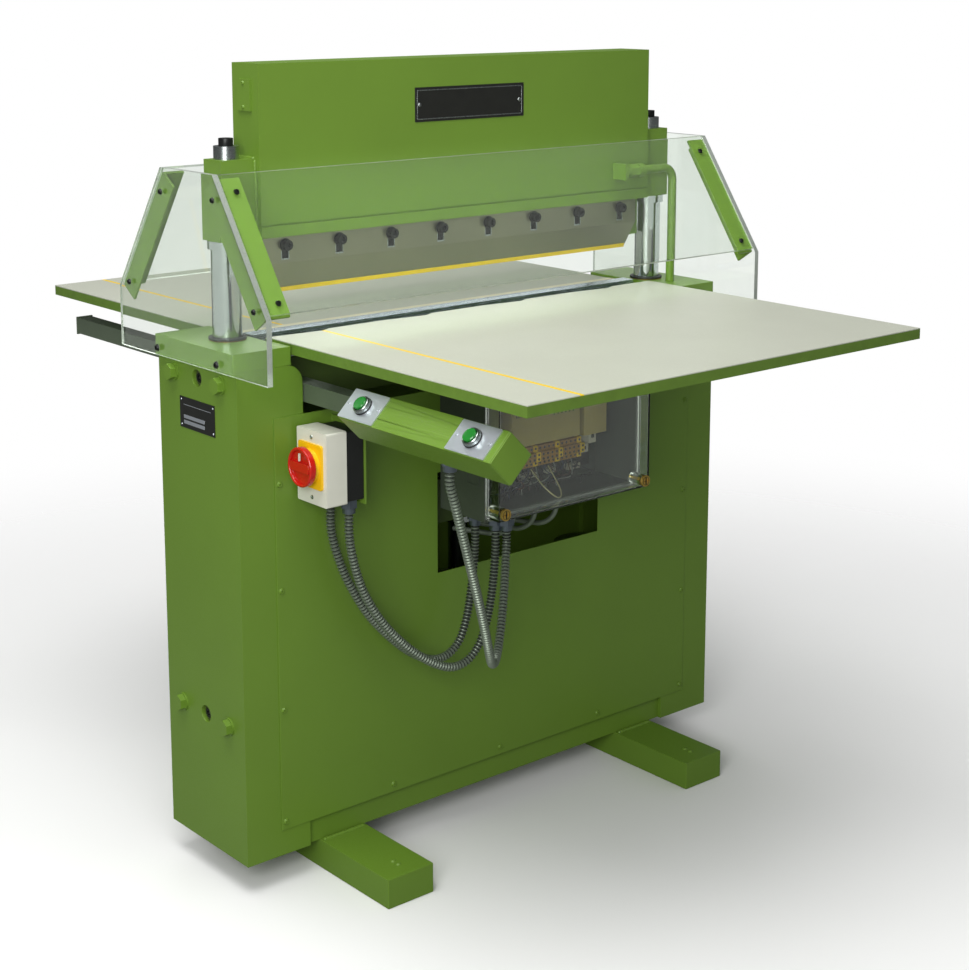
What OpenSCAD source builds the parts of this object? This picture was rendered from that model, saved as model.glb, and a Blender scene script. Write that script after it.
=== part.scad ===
// Powered straight-knife sheet cutter: a knife beam on two guide columns, a tall
// cabinet with a hydraulic drive, two feed tables and a clear guard.
// Origin: on the floor, under the centre line of the two guide columns.
// +X runs along the knife to the operator's right, +Y to the rear, +Z up.

/* [Cabinet] */
// Width of the cabinet over its end frames
body_w = 1070; // [1060:1:1090]
// Depth of the cabinet
body_d = 232; // [228:1:240]
// Height of the cross feet
foot_h = 50; // [40:1:60]
// Width of each foot
foot_w = 92; // [80:1:100]
// How far each foot sticks out past the cabinet
foot_reach = 180; // [150:5:220]
// Height of the end frames' top above the floor
frame_top = 866; // [860:1:868]

/* [Tables] */
// Height of the front table's top
table_z = 900; // [899:1:905]
// Width of both tables
table_w = 860; // [820:5:862]
// Depth of the front table
front_table_d = 624; // [560:4:640]
// Depth of the rear table
rear_table_d = 613; // [560:1:640]
// Thickness of each table
table_t = 18; // [16:1:20]
// How far the rear table lies below the front one
rear_drop = 8; // [6:1:8]

/* [Knife beam] */
// Diameter of the guide columns
column_d = 48; // [44:1:50]
// Distance between the guide columns' centre lines
column_pitch = 940; // [938:1:944]
// Height of the beam's top
beam_top = 1333; // [1310:1:1360]
// Thickness of the beam
beam_t = 74; // [70:1:78]
// Knife screws along the blade
knife_screws = 8; // [6:1:8]

/* [Guard] */
// Thickness of the clear side plates
guard_t = 10; // [8:1:12]
// Height of the guard's top edge
guard_top = 1170; // [1165:1:1180]
// Half the depth of the guard at its foot
guard_reach = 218; // [214:1:224]

/* [Controls] */
// Length of the two-hand console
console_l = 352; // [340:1:360]
// Side of the console's square section
console_s = 55; // [54:1:56]
// Width of the control box
box_w = 360; // [350:1:370]

/* [Hidden] */
$fn = 48;

green = [0.36, 0.53, 0.18];
white = [0.88, 0.88, 0.82];
steel = [0.75, 0.77, 0.78];
black = [0.12, 0.12, 0.12];
clear = [0.80, 0.85, 0.85, 0.35];

half_w = body_w / 2;
half_d = body_d / 2;
column_x = column_pitch / 2;
column_r = column_d / 2;

// Cabinet sheet work
side_t = 8;
flange_w = 123;
flange_corner = 30;
cover_w = 938;
cover_t = 2;
cover_low = 94;
cover_high = 785;
cover_screw_x = 461;
cover_screw_z = [108, 300, 501, 677];
opening_x = [-141, 236];
opening_z = [463, 640];
foot_x = 342;
foot_wall = 6;
tray_t = 6;
tray_lip = 60;

// Bed
block_t = 30;
block_w = 102;
block_top = frame_top + block_t;
beam_half_x = 425;
bed_low = 790;
bed_y = 60;
guide_half_y = 95;
upper_guide = [812, frame_top];
lower_guide = [250, 304];
bush_r = 30;
bush_clear = 0.05;
bolt_y = 70;
upper_bolt_z = 840;
lower_bolt_z = 277;
lube_r = 14;
knife_gap = 0.3;
knife_top = 898;
strip_y = [39, 59];
strip_top = 893;

// Tables
front_edge = -48;
rear_edge = 62;
laminate_t = 1.5;
marker_x = -329;
marker_w = 7;
notch_x = [-330, -115, 100, 315];
notch_l = 90;
notch_d = 9;
arm_s = 40;
arm_x = [-300, 300];
arm_reach = 430;
rail_s = 30;
rail_x = -394;
rail_z = 818;
rail_rear = 634;

// Beam and knife
beam_half = 432;
beam_low = 1056;
beam_wall = 12;
holder_y = [-9, 25];
holder_low = 985;
border_h = 20;
end_block_x = 496;
end_block_top = 1184;
end_block_y = 25;
spigot_r = 18;
collar_r = 20;
collar_h = 21;
blade_y = [-19, -9];
blade_half = 418;
blade_top = 1053;
blade_low = 963;
screw_pitch = 107.4;
knife_screw_z = 1040;
slot_w = 13;
slot_drop = 24;
column_low = 160;
bevel_top = 1010;
blade_tip = 396;
knife_screw_x = [for (i = [0:knife_screws - 1])
    (i - (knife_screws - 1) / 2) * screw_pitch];
cap_z = 1283;
trip_r = 8;
trip_x = 478;
trip_y = -56;
trip_z = 1112;
trip_bend = 24;

// Drive
crosshead_z = [520, 600];
rod_r = 18;
piston_r = 30;
rod_clear = 0.05;
piston_z = 290;
drive_z = [foot_h + tray_t, 400];
chamber_z = [96, 376];
port_x = 60;
port_z = 350;
tank_x = [150, 420];
tank_top = 230;
motor_x = 310;
pipe_x = 190;

// Guard
guard_low = 863;
guard_knee = 964;
guard_shoulder = 77;
sheet_t = 5;
bar_s = 38;
bar_t = 4;
slope_y = guard_reach - guard_shoulder;
slope_z = guard_top - guard_knee;
slope_l = sqrt(slope_y * slope_y + slope_z * slope_z);
slope_angle = atan2(slope_z, slope_y);

// Console, switch and control box
console_x = -411.5;
console_z = 812;
console_y = [-264 - console_l, -264];
console_wall = 2.5;
button_y = [-561, -305];
button_r = 11.5;
collar_out_r = 15;
collar_tall = 9;
switch_y = [-206, -126];
switch_z = [651, 770];
switch_x = [-431.6, -393, -358];
handle_y = -166;
handle_z = 714;
handle_r = 32;
box_x = [-135, box_w - 135];
box_y = [-234, -half_d - cover_t];
box_rim = 12;
box_z = [577, 857];
lid_d = 30;
lid_inset = 6;
box_wall = 3;
gland_h = 24;

// Conduits: centre lines from gland to gland
conduit_r = 7.5;
switch_route = [[-375, -185, 630], [-375, -185, 592], [-366, -184, 545],
    [-346, -185, 488], [-312, -188, 432], [-266, -190, 382], [-222, -193, 347],
    [-182, -196, 327], [-150, -198, 327], [-125, -201, 346], [-109, -204, 380],
    [-99, -207, 425], [-94, -210, 475], [-92, -212, 522], [-92, -212, 553]];
supply_route = [[-375, -135, 630], [-375, -135, 592], [-367, -140, 548],
    [-350, -148, 498], [-318, -156, 440], [-275, -162, 390], [-232, -165, 354],
    [-192, -165, 334], [-160, -165, 334], [-134, -165, 352], [-118, -165, 386],
    [-108, -165, 430], [-102, -166, 478], [-100, -168, 522], [-100, -168, 553]];
console_route = [[-400, -470, 762], [-400, -470, 742], [-390, -468, 712],
    [-372, -459, 672], [-343, -443, 610], [-305, -419, 536], [-267, -392, 464],
    [-238, -368, 414], [-215, -347, 386], [-190, -326, 378], [-166, -306, 392],
    [-142, -286, 424], [-118, -264, 462], [-94, -240, 500], [-80, -226, 530],
    [-80, -226, 553]];
lead_r = 4.5;
lead_x = [-20, 30, 80];
lead_y = -175;
lead_drop = 20;
lead_bend = 40;
lead_run = 75;
lead_lean = 24;

// Shared helpers ------------------------------------------------------------

module box(x, y, z) {
    translate([x[0], y[0], z[0]])
        cube([x[1] - x[0], y[1] - y[0], z[1] - z[0]]);
}

module both_sides() {
    children();
    mirror([1, 0, 0]) children();
}

module along_x(x, r, l) {
    translate([x, 0, 0]) rotate([0, 90, 0]) cylinder(r = r, h = l);
}

module rounded_rect(w, h, r) {
    square([w - 2 * r, h], center = true);
    square([w, h - 2 * r], center = true);
    for (x = [-1, 1], y = [-1, 1])
        translate([x * (w / 2 - r), y * (h / 2 - r)]) circle(r = r);
}

module hex_head(flats, h) {
    cylinder(r = flats / sqrt(3), h = h, $fn = 6);
}

module socket_screw(r, h) {
    difference() {
        cylinder(r = r, h = h);
        translate([0, 0, h * 0.4]) cylinder(r = r * 0.55, h = h, $fn = 6);
    }
}

module button_screw(r, h) {
    difference() {
        cylinder(r1 = r, r2 = r * 0.7, h = h);
        translate([0, 0, h * 0.4]) cylinder(r = r * 0.35, h = h, $fn = 6);
    }
}

// Sweep of a round section along a route
function unit(v) = v / norm(v);
function heading(p, i) = unit(p[min(i + 1, len(p) - 1)] - p[max(i - 1, 0)]);
function ring(p, i, r, ref, n) =
    let (t = heading(p, i), s = unit(cross(t, ref)), u = cross(s, t))
    [for (k = [0:n - 1]) p[i] + r * (cos(360 * k / n) * s + sin(360 * k / n) * u)];

module swept_tube(route, r, ref, n = 8) {
    last = len(route) - 1;
    points = [for (i = [0:last]) each ring(route, i, r, ref, n)];
    sides = [for (i = [0:last - 1], k = [0:n - 1])
        let (a = i * n + k, b = i * n + (k + 1) % n) [a, b, b + n, a + n]];
    start = [for (k = [0:n - 1]) n - 1 - k];
    end = [for (k = [0:n - 1]) last * n + k];
    polyhedron(points = points, faces = concat([start], sides, [end]));
}

// Cabinet -------------------------------------------------------------------

module foot() {
    reach = half_d + foot_reach;
    difference() {
        box([-foot_w / 2, foot_w / 2], [-reach, reach], [0, foot_h]);
        box([foot_wall - foot_w / 2, foot_w / 2 - foot_wall],
            [foot_wall - reach, reach - foot_wall], [-1, foot_h - foot_wall]);
    }
}

module feet() {
    color(green) for (x = [-foot_x, foot_x]) translate([x, 0, 0]) foot();
}

// Hex bolts that hold the guide blocks, and the small screws on the feet
module guide_bolt() {
    rotate([0, 90, 0]) {
        translate([0, 0, -30]) cylinder(r = 8, h = 30);
        cylinder(r = 15, h = 3);
        translate([0, 0, 3]) hex_head(24, 10);
    }
}

module frame_bolts() {
    color(green) {
        both_sides() for (y = [-bolt_y, bolt_y], z = [upper_bolt_z, lower_bolt_z])
            translate([half_w, y, z]) guide_bolt();
        for (x = [-foot_x, foot_x], y = [-262, -248, 248, 262])
            translate([x, y, foot_h]) cylinder(r1 = 5, r2 = 3, h = 2.5);
    }
}

module base_tray() {
    x = half_w - side_t;
    y = half_d - side_t;
    color(green) difference() {
        box([-x, x], [-y, y], [foot_h, foot_h + tray_lip]);
        box([-x - 1, x + 1], [tray_t - y, y - tray_t],
            [foot_h + tray_t, foot_h + tray_lip + 1]);
    }
}

module frame_flange() {
    w = flange_w;
    h = frame_top - foot_h;
    r = flange_corner;
    rotate([90, 0, 0]) linear_extrude(side_t) difference() {
        square([w, h]);
        translate([w - r, h - r]) difference() {
            square([r + 1, r + 1]);
            circle(r = r);
        }
    }
}

module end_frame() {
    difference() {
        union() {
            box([-half_w, side_t - half_w], [-half_d, half_d], [foot_h, frame_top]);
            translate([-half_w, side_t - half_d, foot_h]) frame_flange();
            translate([-half_w, half_d, foot_h]) frame_flange();
        }
        for (z = [upper_bolt_z, lower_bolt_z]) {
            translate([0, 0, z]) along_x(-half_w - 1, lube_r, side_t + 2);
            for (y = [-bolt_y, bolt_y])
                translate([0, y, z]) along_x(-half_w - 1, 8, side_t + 2);
        }
    }
}

module left_end_frame() {
    color(green) end_frame();
}

module right_end_frame() {
    color(green) mirror([1, 0, 0]) end_frame();
}

module cover_sheet() {
    box([-cover_w / 2, cover_w / 2], [-half_d - cover_t, -half_d],
        [cover_low, cover_high]);
}

// The front cover carries the welded plate that the main switch is screwed to
module front_cover() {
    color(green) {
        difference() {
            cover_sheet();
            box(opening_x, [-half_d - 10, -half_d + 10], opening_z);
        }
        box([switch_x[2], switch_x[2] + 3], [switch_y[0], -half_d - 1], [645, 776]);
    }
}

module rear_cover() {
    color(green) mirror([0, 1, 0]) cover_sheet();
}

module cover_screws() {
    spots = [for (x = [-cover_screw_x, cover_screw_x], z = cover_screw_z) [x, z],
        for (x = [-240, 0, 240]) [x, cover_screw_z[0]]];
    color(green) for (side = [0, 1]) mirror([0, side, 0])
        for (p = spots) translate([p[0], -half_d - cover_t, p[1]])
            rotate([90, 0, 0]) button_screw(5, 3);
}

// Bed -----------------------------------------------------------------------

module bed_blocks() {
    color(green) difference() {
        both_sides()
            box([half_w - block_w, half_w], [-half_d, half_d], [frame_top, block_top]);
        for (x = [-column_x, column_x])
            translate([x, 0, frame_top - 1]) cylinder(r = bush_r, h = block_t + 2);
        translate([trip_x, trip_y, frame_top - 1])
            cylinder(r = trip_r + 1, h = block_t + 2);
    }
}

module bed_beam() {
    web = 10;
    color(green) difference() {
        box([-beam_half_x, beam_half_x], [-bed_y, bed_y], [bed_low, frame_top]);
        box([-beam_half_x - 1, beam_half_x + 1], [web - bed_y, bed_y - web],
            [bed_low - 1, frame_top - 20]);
    }
}

module guide_block(z) {
    difference() {
        box([beam_half_x, half_w - side_t], [-guide_half_y, guide_half_y], z);
        translate([column_x, 0, z[0] - 1])
            cylinder(r = bush_r, h = z[1] - z[0] + 2);
        for (y = [-bolt_y, bolt_y])
            translate([0, y, z[0] == upper_guide[0] ? upper_bolt_z : lower_bolt_z])
                along_x(half_w - 30, 8, 30);
    }
}

module guide_blocks() {
    color(steel) {
        both_sides() guide_block(lower_guide);
        mirror([1, 0, 0]) guide_block(upper_guide);
        difference() {
            guide_block(upper_guide);
            translate([trip_x, trip_y, upper_guide[0] - 1])
                cylinder(r = trip_r + 1, h = 70);
        }
    }
}

module bush(z) {
    translate([column_x, 0, z[0]]) difference() {
        cylinder(r = bush_r, h = z[1] - z[0]);
        translate([0, 0, -1])
            cylinder(r = column_r + bush_clear, h = z[1] - z[0] + 2);
    }
}

module guide_bushes() {
    color("goldenrod") both_sides() {
        bush([upper_guide[0], block_top + 1]);
        bush(lower_guide);
    }
}

module lower_knife() {
    color(steel)
        box([-428, 428], [blade_y[1] + knife_gap, 20], [frame_top, knife_top]);
}

module cutting_strip() {
    color("ivory") box([-428, 428], strip_y, [frame_top, strip_top]);
}

// Tables --------------------------------------------------------------------

module table_outline(depth) {
    translate([-table_w / 2, -depth]) square([table_w, depth]);
}

// Shallow relief notches along the front table's knife edge
module notches() {
    for (x = notch_x)
        translate([x, 0])
            polygon([[-notch_l, 1], [-notch_l + 4, 0], [0, -notch_d], [18, 0], [18, 1]]);
}

module front_outline() {
    difference() {
        table_outline(front_table_d);
        notches();
    }
}

module place_front(z) {
    translate([0, front_edge, z]) children();
}

module place_rear(z) {
    translate([0, rear_edge, z]) mirror([0, 1, 0]) children();
}

module table_boards() {
    core = table_t - laminate_t;
    color(green) {
        place_front(table_z - table_t) linear_extrude(core) front_outline();
        place_rear(table_z - rear_drop - table_t) linear_extrude(core)
            table_outline(rear_table_d);
    }
}

module marker_outline() {
    translate([marker_x - marker_w / 2, -front_table_d - 1])
        square([marker_w, front_table_d + 2]);
}

module table_tops() {
    color(white) {
        place_front(table_z - laminate_t) linear_extrude(laminate_t) difference() {
            front_outline();
            marker_outline();
        }
        place_rear(table_z - rear_drop - laminate_t) linear_extrude(laminate_t)
            difference() {
                table_outline(rear_table_d);
                marker_outline();
            }
    }
}

module marker_strips() {
    color("gold") {
        place_front(table_z - laminate_t) linear_extrude(laminate_t) intersection() {
            front_outline();
            marker_outline();
        }
        place_rear(table_z - rear_drop - laminate_t) linear_extrude(laminate_t)
            intersection() {
                table_outline(rear_table_d);
                marker_outline();
            }
    }
}

module table_arms() {
    under = table_z - table_t;
    color(black) for (x = arm_x) {
        box([x - arm_s / 2, x + arm_s / 2], [-arm_reach, -bed_y], [under - arm_s, under]);
        box([x - arm_s / 2, x + arm_s / 2], [bed_y, arm_reach],
            [under - rear_drop - arm_s, under - rear_drop]);
    }
}

module rail(x, y) {
    box([x - rail_s / 2, x + rail_s / 2], y,
        [rail_z - rail_s / 2, rail_z + rail_s / 2]);
}

module rails() {
    color(black) {
        rail(rail_x, [console_y[1], -bed_y]);
        rail(rail_x, [bed_y, rail_rear]);
        rail(-rail_x, [bed_y, rail_rear]);
    }
}

// Guard ---------------------------------------------------------------------

module guard_side_plates() {
    outline = [[-guard_reach, guard_low], [guard_reach, guard_low],
        [guard_reach, guard_knee], [guard_shoulder, guard_top],
        [-guard_shoulder, guard_top], [-guard_reach, guard_knee]];
    color(clear) both_sides() translate([half_w, 0, 0])
        rotate([90, 0, 90]) linear_extrude(guard_t) polygon(outline);
}

// Local frame of the front slope: x runs down the slope, z points outwards
module on_slope() {
    translate([0, -guard_shoulder, guard_top]) rotate([0, 0, -90])
        rotate([0, slope_angle, 0]) children();
}

module front_and_rear() {
    children();
    mirror([0, 1, 0]) children();
}

module guard_sheets() {
    color(clear) front_and_rear() on_slope()
        box([0, slope_l - 8], [0.3 - half_w, half_w - 0.3], [-sheet_t, 0]);
}

module guard_bar() {
    s = [6, slope_l - 4];
    on_slope() translate([0, half_w, -sheet_t]) {
        box(s, [-bar_t, 0], [-bar_s, 0]);
        box(s, [-bar_s, 0], [-bar_t, 0]);
    }
}

module guard_bars() {
    color(green) both_sides() front_and_rear() guard_bar();
}

module guard_screws() {
    color(black) both_sides() {
        front_and_rear() on_slope() for (s = [32, slope_l - 26]) {
            translate([s, half_w - 22, 0]) button_screw(5, 3);
            translate([s, half_w + guard_t, -sheet_t - 17])
                rotate([-90, 0, 0]) button_screw(5, 3);
        }
        for (y = [-76, 102]) translate([half_w + guard_t, y, 875])
            rotate([0, 90, 0]) button_screw(6, 3);
    }
}

// Controls ------------------------------------------------------------------

module switch_base() {
    color(black) box([switch_x[1], switch_x[2]], [switch_y[0] + 3, switch_y[1] - 3],
        [switch_z[0] + 3, switch_z[1] - 3]);
}

module facing_left(x, y, z) {
    translate([x, y, z]) rotate([0, -90, 0]) children();
}

module switch_cover() {
    depth = switch_x[1] - switch_x[0];
    color("gainsboro") difference() {
        facing_left(switch_x[1], (switch_y[0] + switch_y[1]) / 2,
            (switch_z[0] + switch_z[1]) / 2) linear_extrude(depth)
            rounded_rect(switch_z[1] - switch_z[0], switch_y[1] - switch_y[0], 3);
        facing_left(switch_x[0] + 12, handle_y, handle_z) cylinder(r = 6.3, h = 20);
    }
}

module switch_plate() {
    color("gold") facing_left(switch_x[0], handle_y, handle_z) difference() {
        union() {
            linear_extrude(4) rounded_rect(72, 62, 4);
            cylinder(r = handle_r - 4, h = 12);
        }
        translate([0, 0, -1]) cylinder(r = 6.3, h = 14);
    }
}

module switch_handle() {
    color("red") facing_left(switch_x[0] + 11, handle_y, handle_z) {
        cylinder(r = 6, h = 24);
        translate([0, 0, 23.5]) cylinder(r = handle_r, h = 5);
        translate([0, 0, 28]) difference() {
            cylinder(r = handle_r, h = 7);
            translate([0, 0, 1]) cylinder(r = handle_r - 4, h = 7);
        }
        translate([0, 0, 28]) linear_extrude(8) rounded_rect(54, 14, 5);
    }
}

module gland(x, y, low, h = gland_h) {
    translate([x, y, low]) difference() {
        union() {
            cylinder(r = conduit_r + 3, h = h);
            translate([0, 0, 9]) hex_head(24, h - 9);
        }
        translate([0, 0, -1]) cylinder(r = conduit_r - 2, h = h + 2);
    }
}

// Glands under the main switch, the console and the control box
module conduit_glands() {
    color("slategray") {
        for (route = [switch_route, supply_route]) {
            start = route[0];
            gland(start[0], start[1], start[2]);
        }
        for (route = [switch_route, supply_route, console_route]) {
            end = route[len(route) - 1];
            gland(end[0], end[1], end[2]);
        }
        difference() {
            gland(console_route[0][0], console_route[0][1], console_route[0][2], 40);
            console_shell(0);
        }
    }
}

module console_shell(inset) {
    s = console_s - 2 * inset;
    translate([console_x, console_y[0] + inset, console_z]) rotate([-90, 0, 0])
        rotate([0, 0, 45])
        translate([-s / 2, -s / 2, 0]) cube([s, s, console_l - 2 * inset]);
}

// Local frame of the sloping button face: z points out of the face
module on_console_face(y) {
    translate([console_x, y, console_z]) rotate([0, -45, 0])
        translate([0, 0, console_s / 2]) children();
}

module console_body() {
    color(green) difference() {
        console_shell(0);
        console_shell(console_wall);
        for (y = button_y) on_console_face(y) translate([0, 0, -10])
            cylinder(r = button_r + 0.5, h = 20);
    }
}

module button_plates() {
    color("silver") for (y = button_y) on_console_face(y) {
        linear_extrude(2) difference() {
            rounded_rect(52, 85, 2);
            circle(r = button_r + 0.5);
        }
        for (side = [-36, 36]) translate([0, side, 2]) button_screw(2.5, 1.5);
    }
}

module button_collars() {
    color("silver") for (y = button_y) on_console_face(y) translate([0, 0, 2])
        difference() {
            cylinder(r = collar_out_r, h = collar_tall);
            translate([0, 0, -1]) cylinder(r = button_r + 0.5, h = collar_tall + 2);
        }
}

module push_button(y) {
    color("green") on_console_face(y) translate([0, 0, -8])
        cylinder(r = button_r, h = 10 + collar_tall + 3);
}

module front_button() {
    push_button(button_y[0]);
}

module rear_button() {
    push_button(button_y[1]);
}

module box_body() {
    color("gray") difference() {
        box(box_x, box_y, box_z);
        box([box_x[0] + box_wall, box_x[1] - box_wall],
            [box_y[0] + box_wall, box_y[1] - box_wall],
            [box_z[0] + box_wall, box_z[1] - box_wall]);
        box([box_x[0] + box_rim, box_x[1] - box_rim], [box_y[0] - 1, box_y[0] + 9],
            [box_z[0] + box_rim, box_z[1] - box_rim]);
    }
}

module box_lid() {
    x = [box_x[0] + lid_inset, box_x[1] - lid_inset];
    z = [box_z[0] + lid_inset, box_z[1] - lid_inset];
    color(clear) difference() {
        box(x, [box_y[0] - lid_d, box_y[0]], z);
        box([x[0] + box_wall, x[1] - box_wall], [box_y[0] - lid_d + box_wall, box_y[0] + 1],
            [z[0] + box_wall, z[1] - box_wall]);
    }
}

module lid_screws() {
    inset = 18;
    color("goldenrod") for (x = [box_x[0] + inset, box_x[1] - inset],
        z = [box_z[0] + inset, box_z[1] - inset])
        translate([x, box_y[0] - lid_d, z]) rotate([90, 0, 0]) difference() {
            cylinder(r = 10, h = 5);
            translate([-7, -1, 3]) cube([14, 2, 3]);
        }
}

module mounting_plate() {
    color(steel) {
        box([box_x[0] + 20, box_x[1] - 20], [-124, -121],
            [box_z[0] + 20, box_z[1] - 20]);
        for (z = [648, 715]) box([-100, 190], [-131, -124], [z - 17, z + 17]);
    }
}

module controller() {
    color("tan") {
        box([-40, 118], [-192, -131], [678, 752]);
        box([130, 184], [-190, -131], [674, 756]);
    }
}

module terminals() {
    color("khaki") for (i = [0:14])
        translate([-8 + i * 10.4, -174, 628]) cube([9.6, 43, 40]);
}

// Short leads from the control box into the cabinet
module bent_lead(x) {
    translate([x, lead_y, box_z[0]]) rotate([0, 0, lead_lean]) {
        translate([0, 0, -lead_drop]) cylinder(r = lead_r, h = lead_drop);
        translate([0, lead_bend, -lead_drop]) rotate([90, 0, -90])
            rotate_extrude(angle = -90) translate([lead_bend, 0]) circle(r = lead_r);
        translate([0, lead_bend, -lead_drop - lead_bend]) rotate([-90, 0, 0])
            cylinder(r = lead_r, h = lead_run);
    }
}

module machine_leads() {
    color("dimgray") for (x = lead_x) bent_lead(x);
}

module conduit_switch() {
    color("silver") swept_tube(switch_route, conduit_r, [0, 1, 0]);
}

module conduit_supply() {
    color("silver") swept_tube(supply_route, conduit_r, [0, 1, 0]);
}

module conduit_console() {
    color("silver") swept_tube(console_route, conduit_r, [-0.6, 0.8, 0]);
}

// Drive inside the cabinet ---------------------------------------------------

// Drive inside the cabinet ---------------------------------------------------

module drive_cylinder() {
    color(steel) difference() {
        union() {
            translate([0, 0, drive_z[0]]) cylinder(r = 42, h = drive_z[1] - drive_z[0]);
            box([-60, 60], [-60, 60], [drive_z[0], drive_z[0] + 14]);
            box([20, port_x], [-12, 12], [port_z - 15, port_z + 15]);
        }
        translate([0, 0, chamber_z[0]])
            cylinder(r = piston_r, h = chamber_z[1] - chamber_z[0]);
        translate([0, 0, chamber_z[1] - 1])
            cylinder(r = rod_r + rod_clear, h = drive_z[1] - chamber_z[1] + 2);
    }
}

module piston_rod() {
    color(steel) {
        translate([0, 0, piston_z]) cylinder(r = piston_r - rod_clear, h = 40);
        translate([0, 0, piston_z]) cylinder(r = rod_r, h = crosshead_z[0] - piston_z);
        translate([0, 0, crosshead_z[0] - 12]) cylinder(r = 35, h = 12);
    }
}

module oil_tank() {
    color(green) box(tank_x, [-80, 80], [drive_z[0], tank_top]);
}

module pump_motor() {
    color(green) translate([motor_x, 0, tank_top]) {
        cylinder(r = 45, h = 20);
        translate([0, 0, 20]) cylinder(r = 60, h = 120);
        translate([0, 0, 140]) cylinder(r = 56, h = 30);
    }
}

module oil_pipe() {
    r = 8;
    bend = 30;
    color(steel) {
        translate([pipe_x, 0, tank_top]) cylinder(r = r, h = port_z - bend - tank_top);
        translate([pipe_x - bend, 0, port_z - bend]) rotate([90, 0, 0])
            rotate_extrude(angle = 90) translate([bend, 0]) circle(r = r);
        translate([0, 0, port_z]) along_x(port_x, r, pipe_x - bend - port_x);
    }
}

// Two switches beside the trip rod, on the right end frame
module limit_switches() {
    color("dimgray") for (z = [700, 610]) {
        box([498, half_w - side_t], [trip_y - 16, trip_y + 16], [z, z + 60]);
        translate([494.5, trip_y - 5, z + 40]) rotate([-90, 0, 0])
            cylinder(r = 4, h = 10);
    }
}

module rating_plate() {
    color(steel) facing_left(-half_w, 0, 778) linear_extrude(1) rounded_rect(51, 104, 3);
}

// Ram ------------------------------------------------------------------------

module end_block() {
    box([beam_half - 1, end_block_x], [-end_block_y, end_block_y],
        [beam_low, end_block_top]);
}

// Welded hollow beam with the bar behind the knife and the column blocks
module ram_beam() {
    y = beam_t / 2;
    color(green) difference() {
        union() {
            box([-beam_half, beam_half], [-y, y], [beam_low, beam_top]);
            box([-beam_half, beam_half], holder_y, [holder_low, beam_low + 1]);
            both_sides() end_block();
        }
        box([beam_wall - beam_half, beam_half - beam_wall],
            [beam_wall - y, y - beam_wall], [beam_low + border_h, beam_top - beam_wall]);
        box([-beam_half - 1, beam_half + 1], [-y - 1, 2.5 - y],
            [beam_low + border_h - 1.5, beam_low + border_h + 1.5]);
        both_sides() {
            translate([column_x, 0, beam_low - 1])
                cylinder(r = spigot_r, h = end_block_top - beam_low + 2);
            box([beam_half - beam_wall - 1, beam_half + 1], [-12, 12],
                [cap_z - 18, cap_z + 18]);
        }
        for (x = knife_screw_x) translate([x, holder_y[0] - 1, knife_screw_z])
            rotate([-90, 0, 0]) cylinder(r = 5, h = 22);
    }
}

module beam_end_plates() {
    color(green) both_sides() {
        box([beam_half, beam_half + 4], [-18.5, 18.5], [cap_z - 25, cap_z + 25]);
        for (z = [cap_z - 19, cap_z + 19])
            translate([beam_half + 4, 0, z]) rotate([0, 90, 0]) button_screw(3.5, 2.5);
    }
}

module maker_plate() {
    color(steel) translate([0, -beam_t / 2, 1255]) rotate([90, 0, 0]) {
        linear_extrude(1) rounded_rect(242, 58, 3);
        for (x = [-114, 114]) translate([x, 0, 1]) cylinder(r = 2.5, h = 1);
    }
}

module columns() {
    color("silver") both_sides() translate([column_x, 0, column_low]) {
        cylinder(r = column_r, h = beam_low - column_low);
        cylinder(r = spigot_r, h = end_block_top - column_low);
        translate([0, 0, beam_low - column_low - 13])
            cylinder(r = column_r + 5, h = 13);
    }
}

module column_collars() {
    color("silver") both_sides() translate([column_x, 0, end_block_top])
        difference() {
            cylinder(r = collar_r, h = collar_h);
            translate([0, 0, -1]) cylinder(r = 6, h = collar_h + 2);
        }
}

module knife_screw() {
    rotate([90, 0, 0]) {
        cylinder(r = 10.5, h = 2);
        translate([0, 0, 2]) socket_screw(8.5, 9);
        translate([0, 0, -28]) cylinder(r = 5, h = 28);
    }
}

// Cap screws on the column collars and along the knife
module ram_screws() {
    color(black) {
        both_sides() translate([column_x, 0, end_block_top]) {
            cylinder(r = 6, h = collar_h);
            translate([0, 0, collar_h]) socket_screw(11.7, 12);
        }
        for (x = knife_screw_x) translate([x, blade_y[0], knife_screw_z])
            knife_screw();
    }
}

function bevel_y(z) = blade_y[0] + (blade_y[1] - 1 - blade_y[0])
    * (bevel_top - z) / (bevel_top - blade_low);

module blade() {
    color(steel) difference() {
        intersection() {
            rotate([90, 0, 0]) translate([0, 0, -blade_y[1]])
                linear_extrude(blade_y[1] - blade_y[0])
                polygon([[-blade_half, blade_top], [blade_half, blade_top],
                    [blade_half, bevel_top], [blade_tip, blade_low],
                    [-blade_tip, blade_low], [-blade_half, bevel_top]]);
            translate([-blade_half - 1, 0, 0]) rotate([90, 0, 90])
                linear_extrude(2 * blade_half + 2)
                polygon([[blade_y[0], blade_top], [blade_y[1], blade_top],
                    [blade_y[1], blade_low], [bevel_y(blade_low), blade_low],
                    [blade_y[0], bevel_top]]);
        }
        for (x = knife_screw_x) {
            box([x - slot_w / 2, x + slot_w / 2], [blade_y[0] - 1, blade_y[1] + 1],
                [knife_screw_z - slot_drop, knife_screw_z]);
            translate([x, blade_y[0] - 1, knife_screw_z]) rotate([-90, 0, 0])
                cylinder(r = slot_w / 2, h = 12);
        }
    }
}

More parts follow.
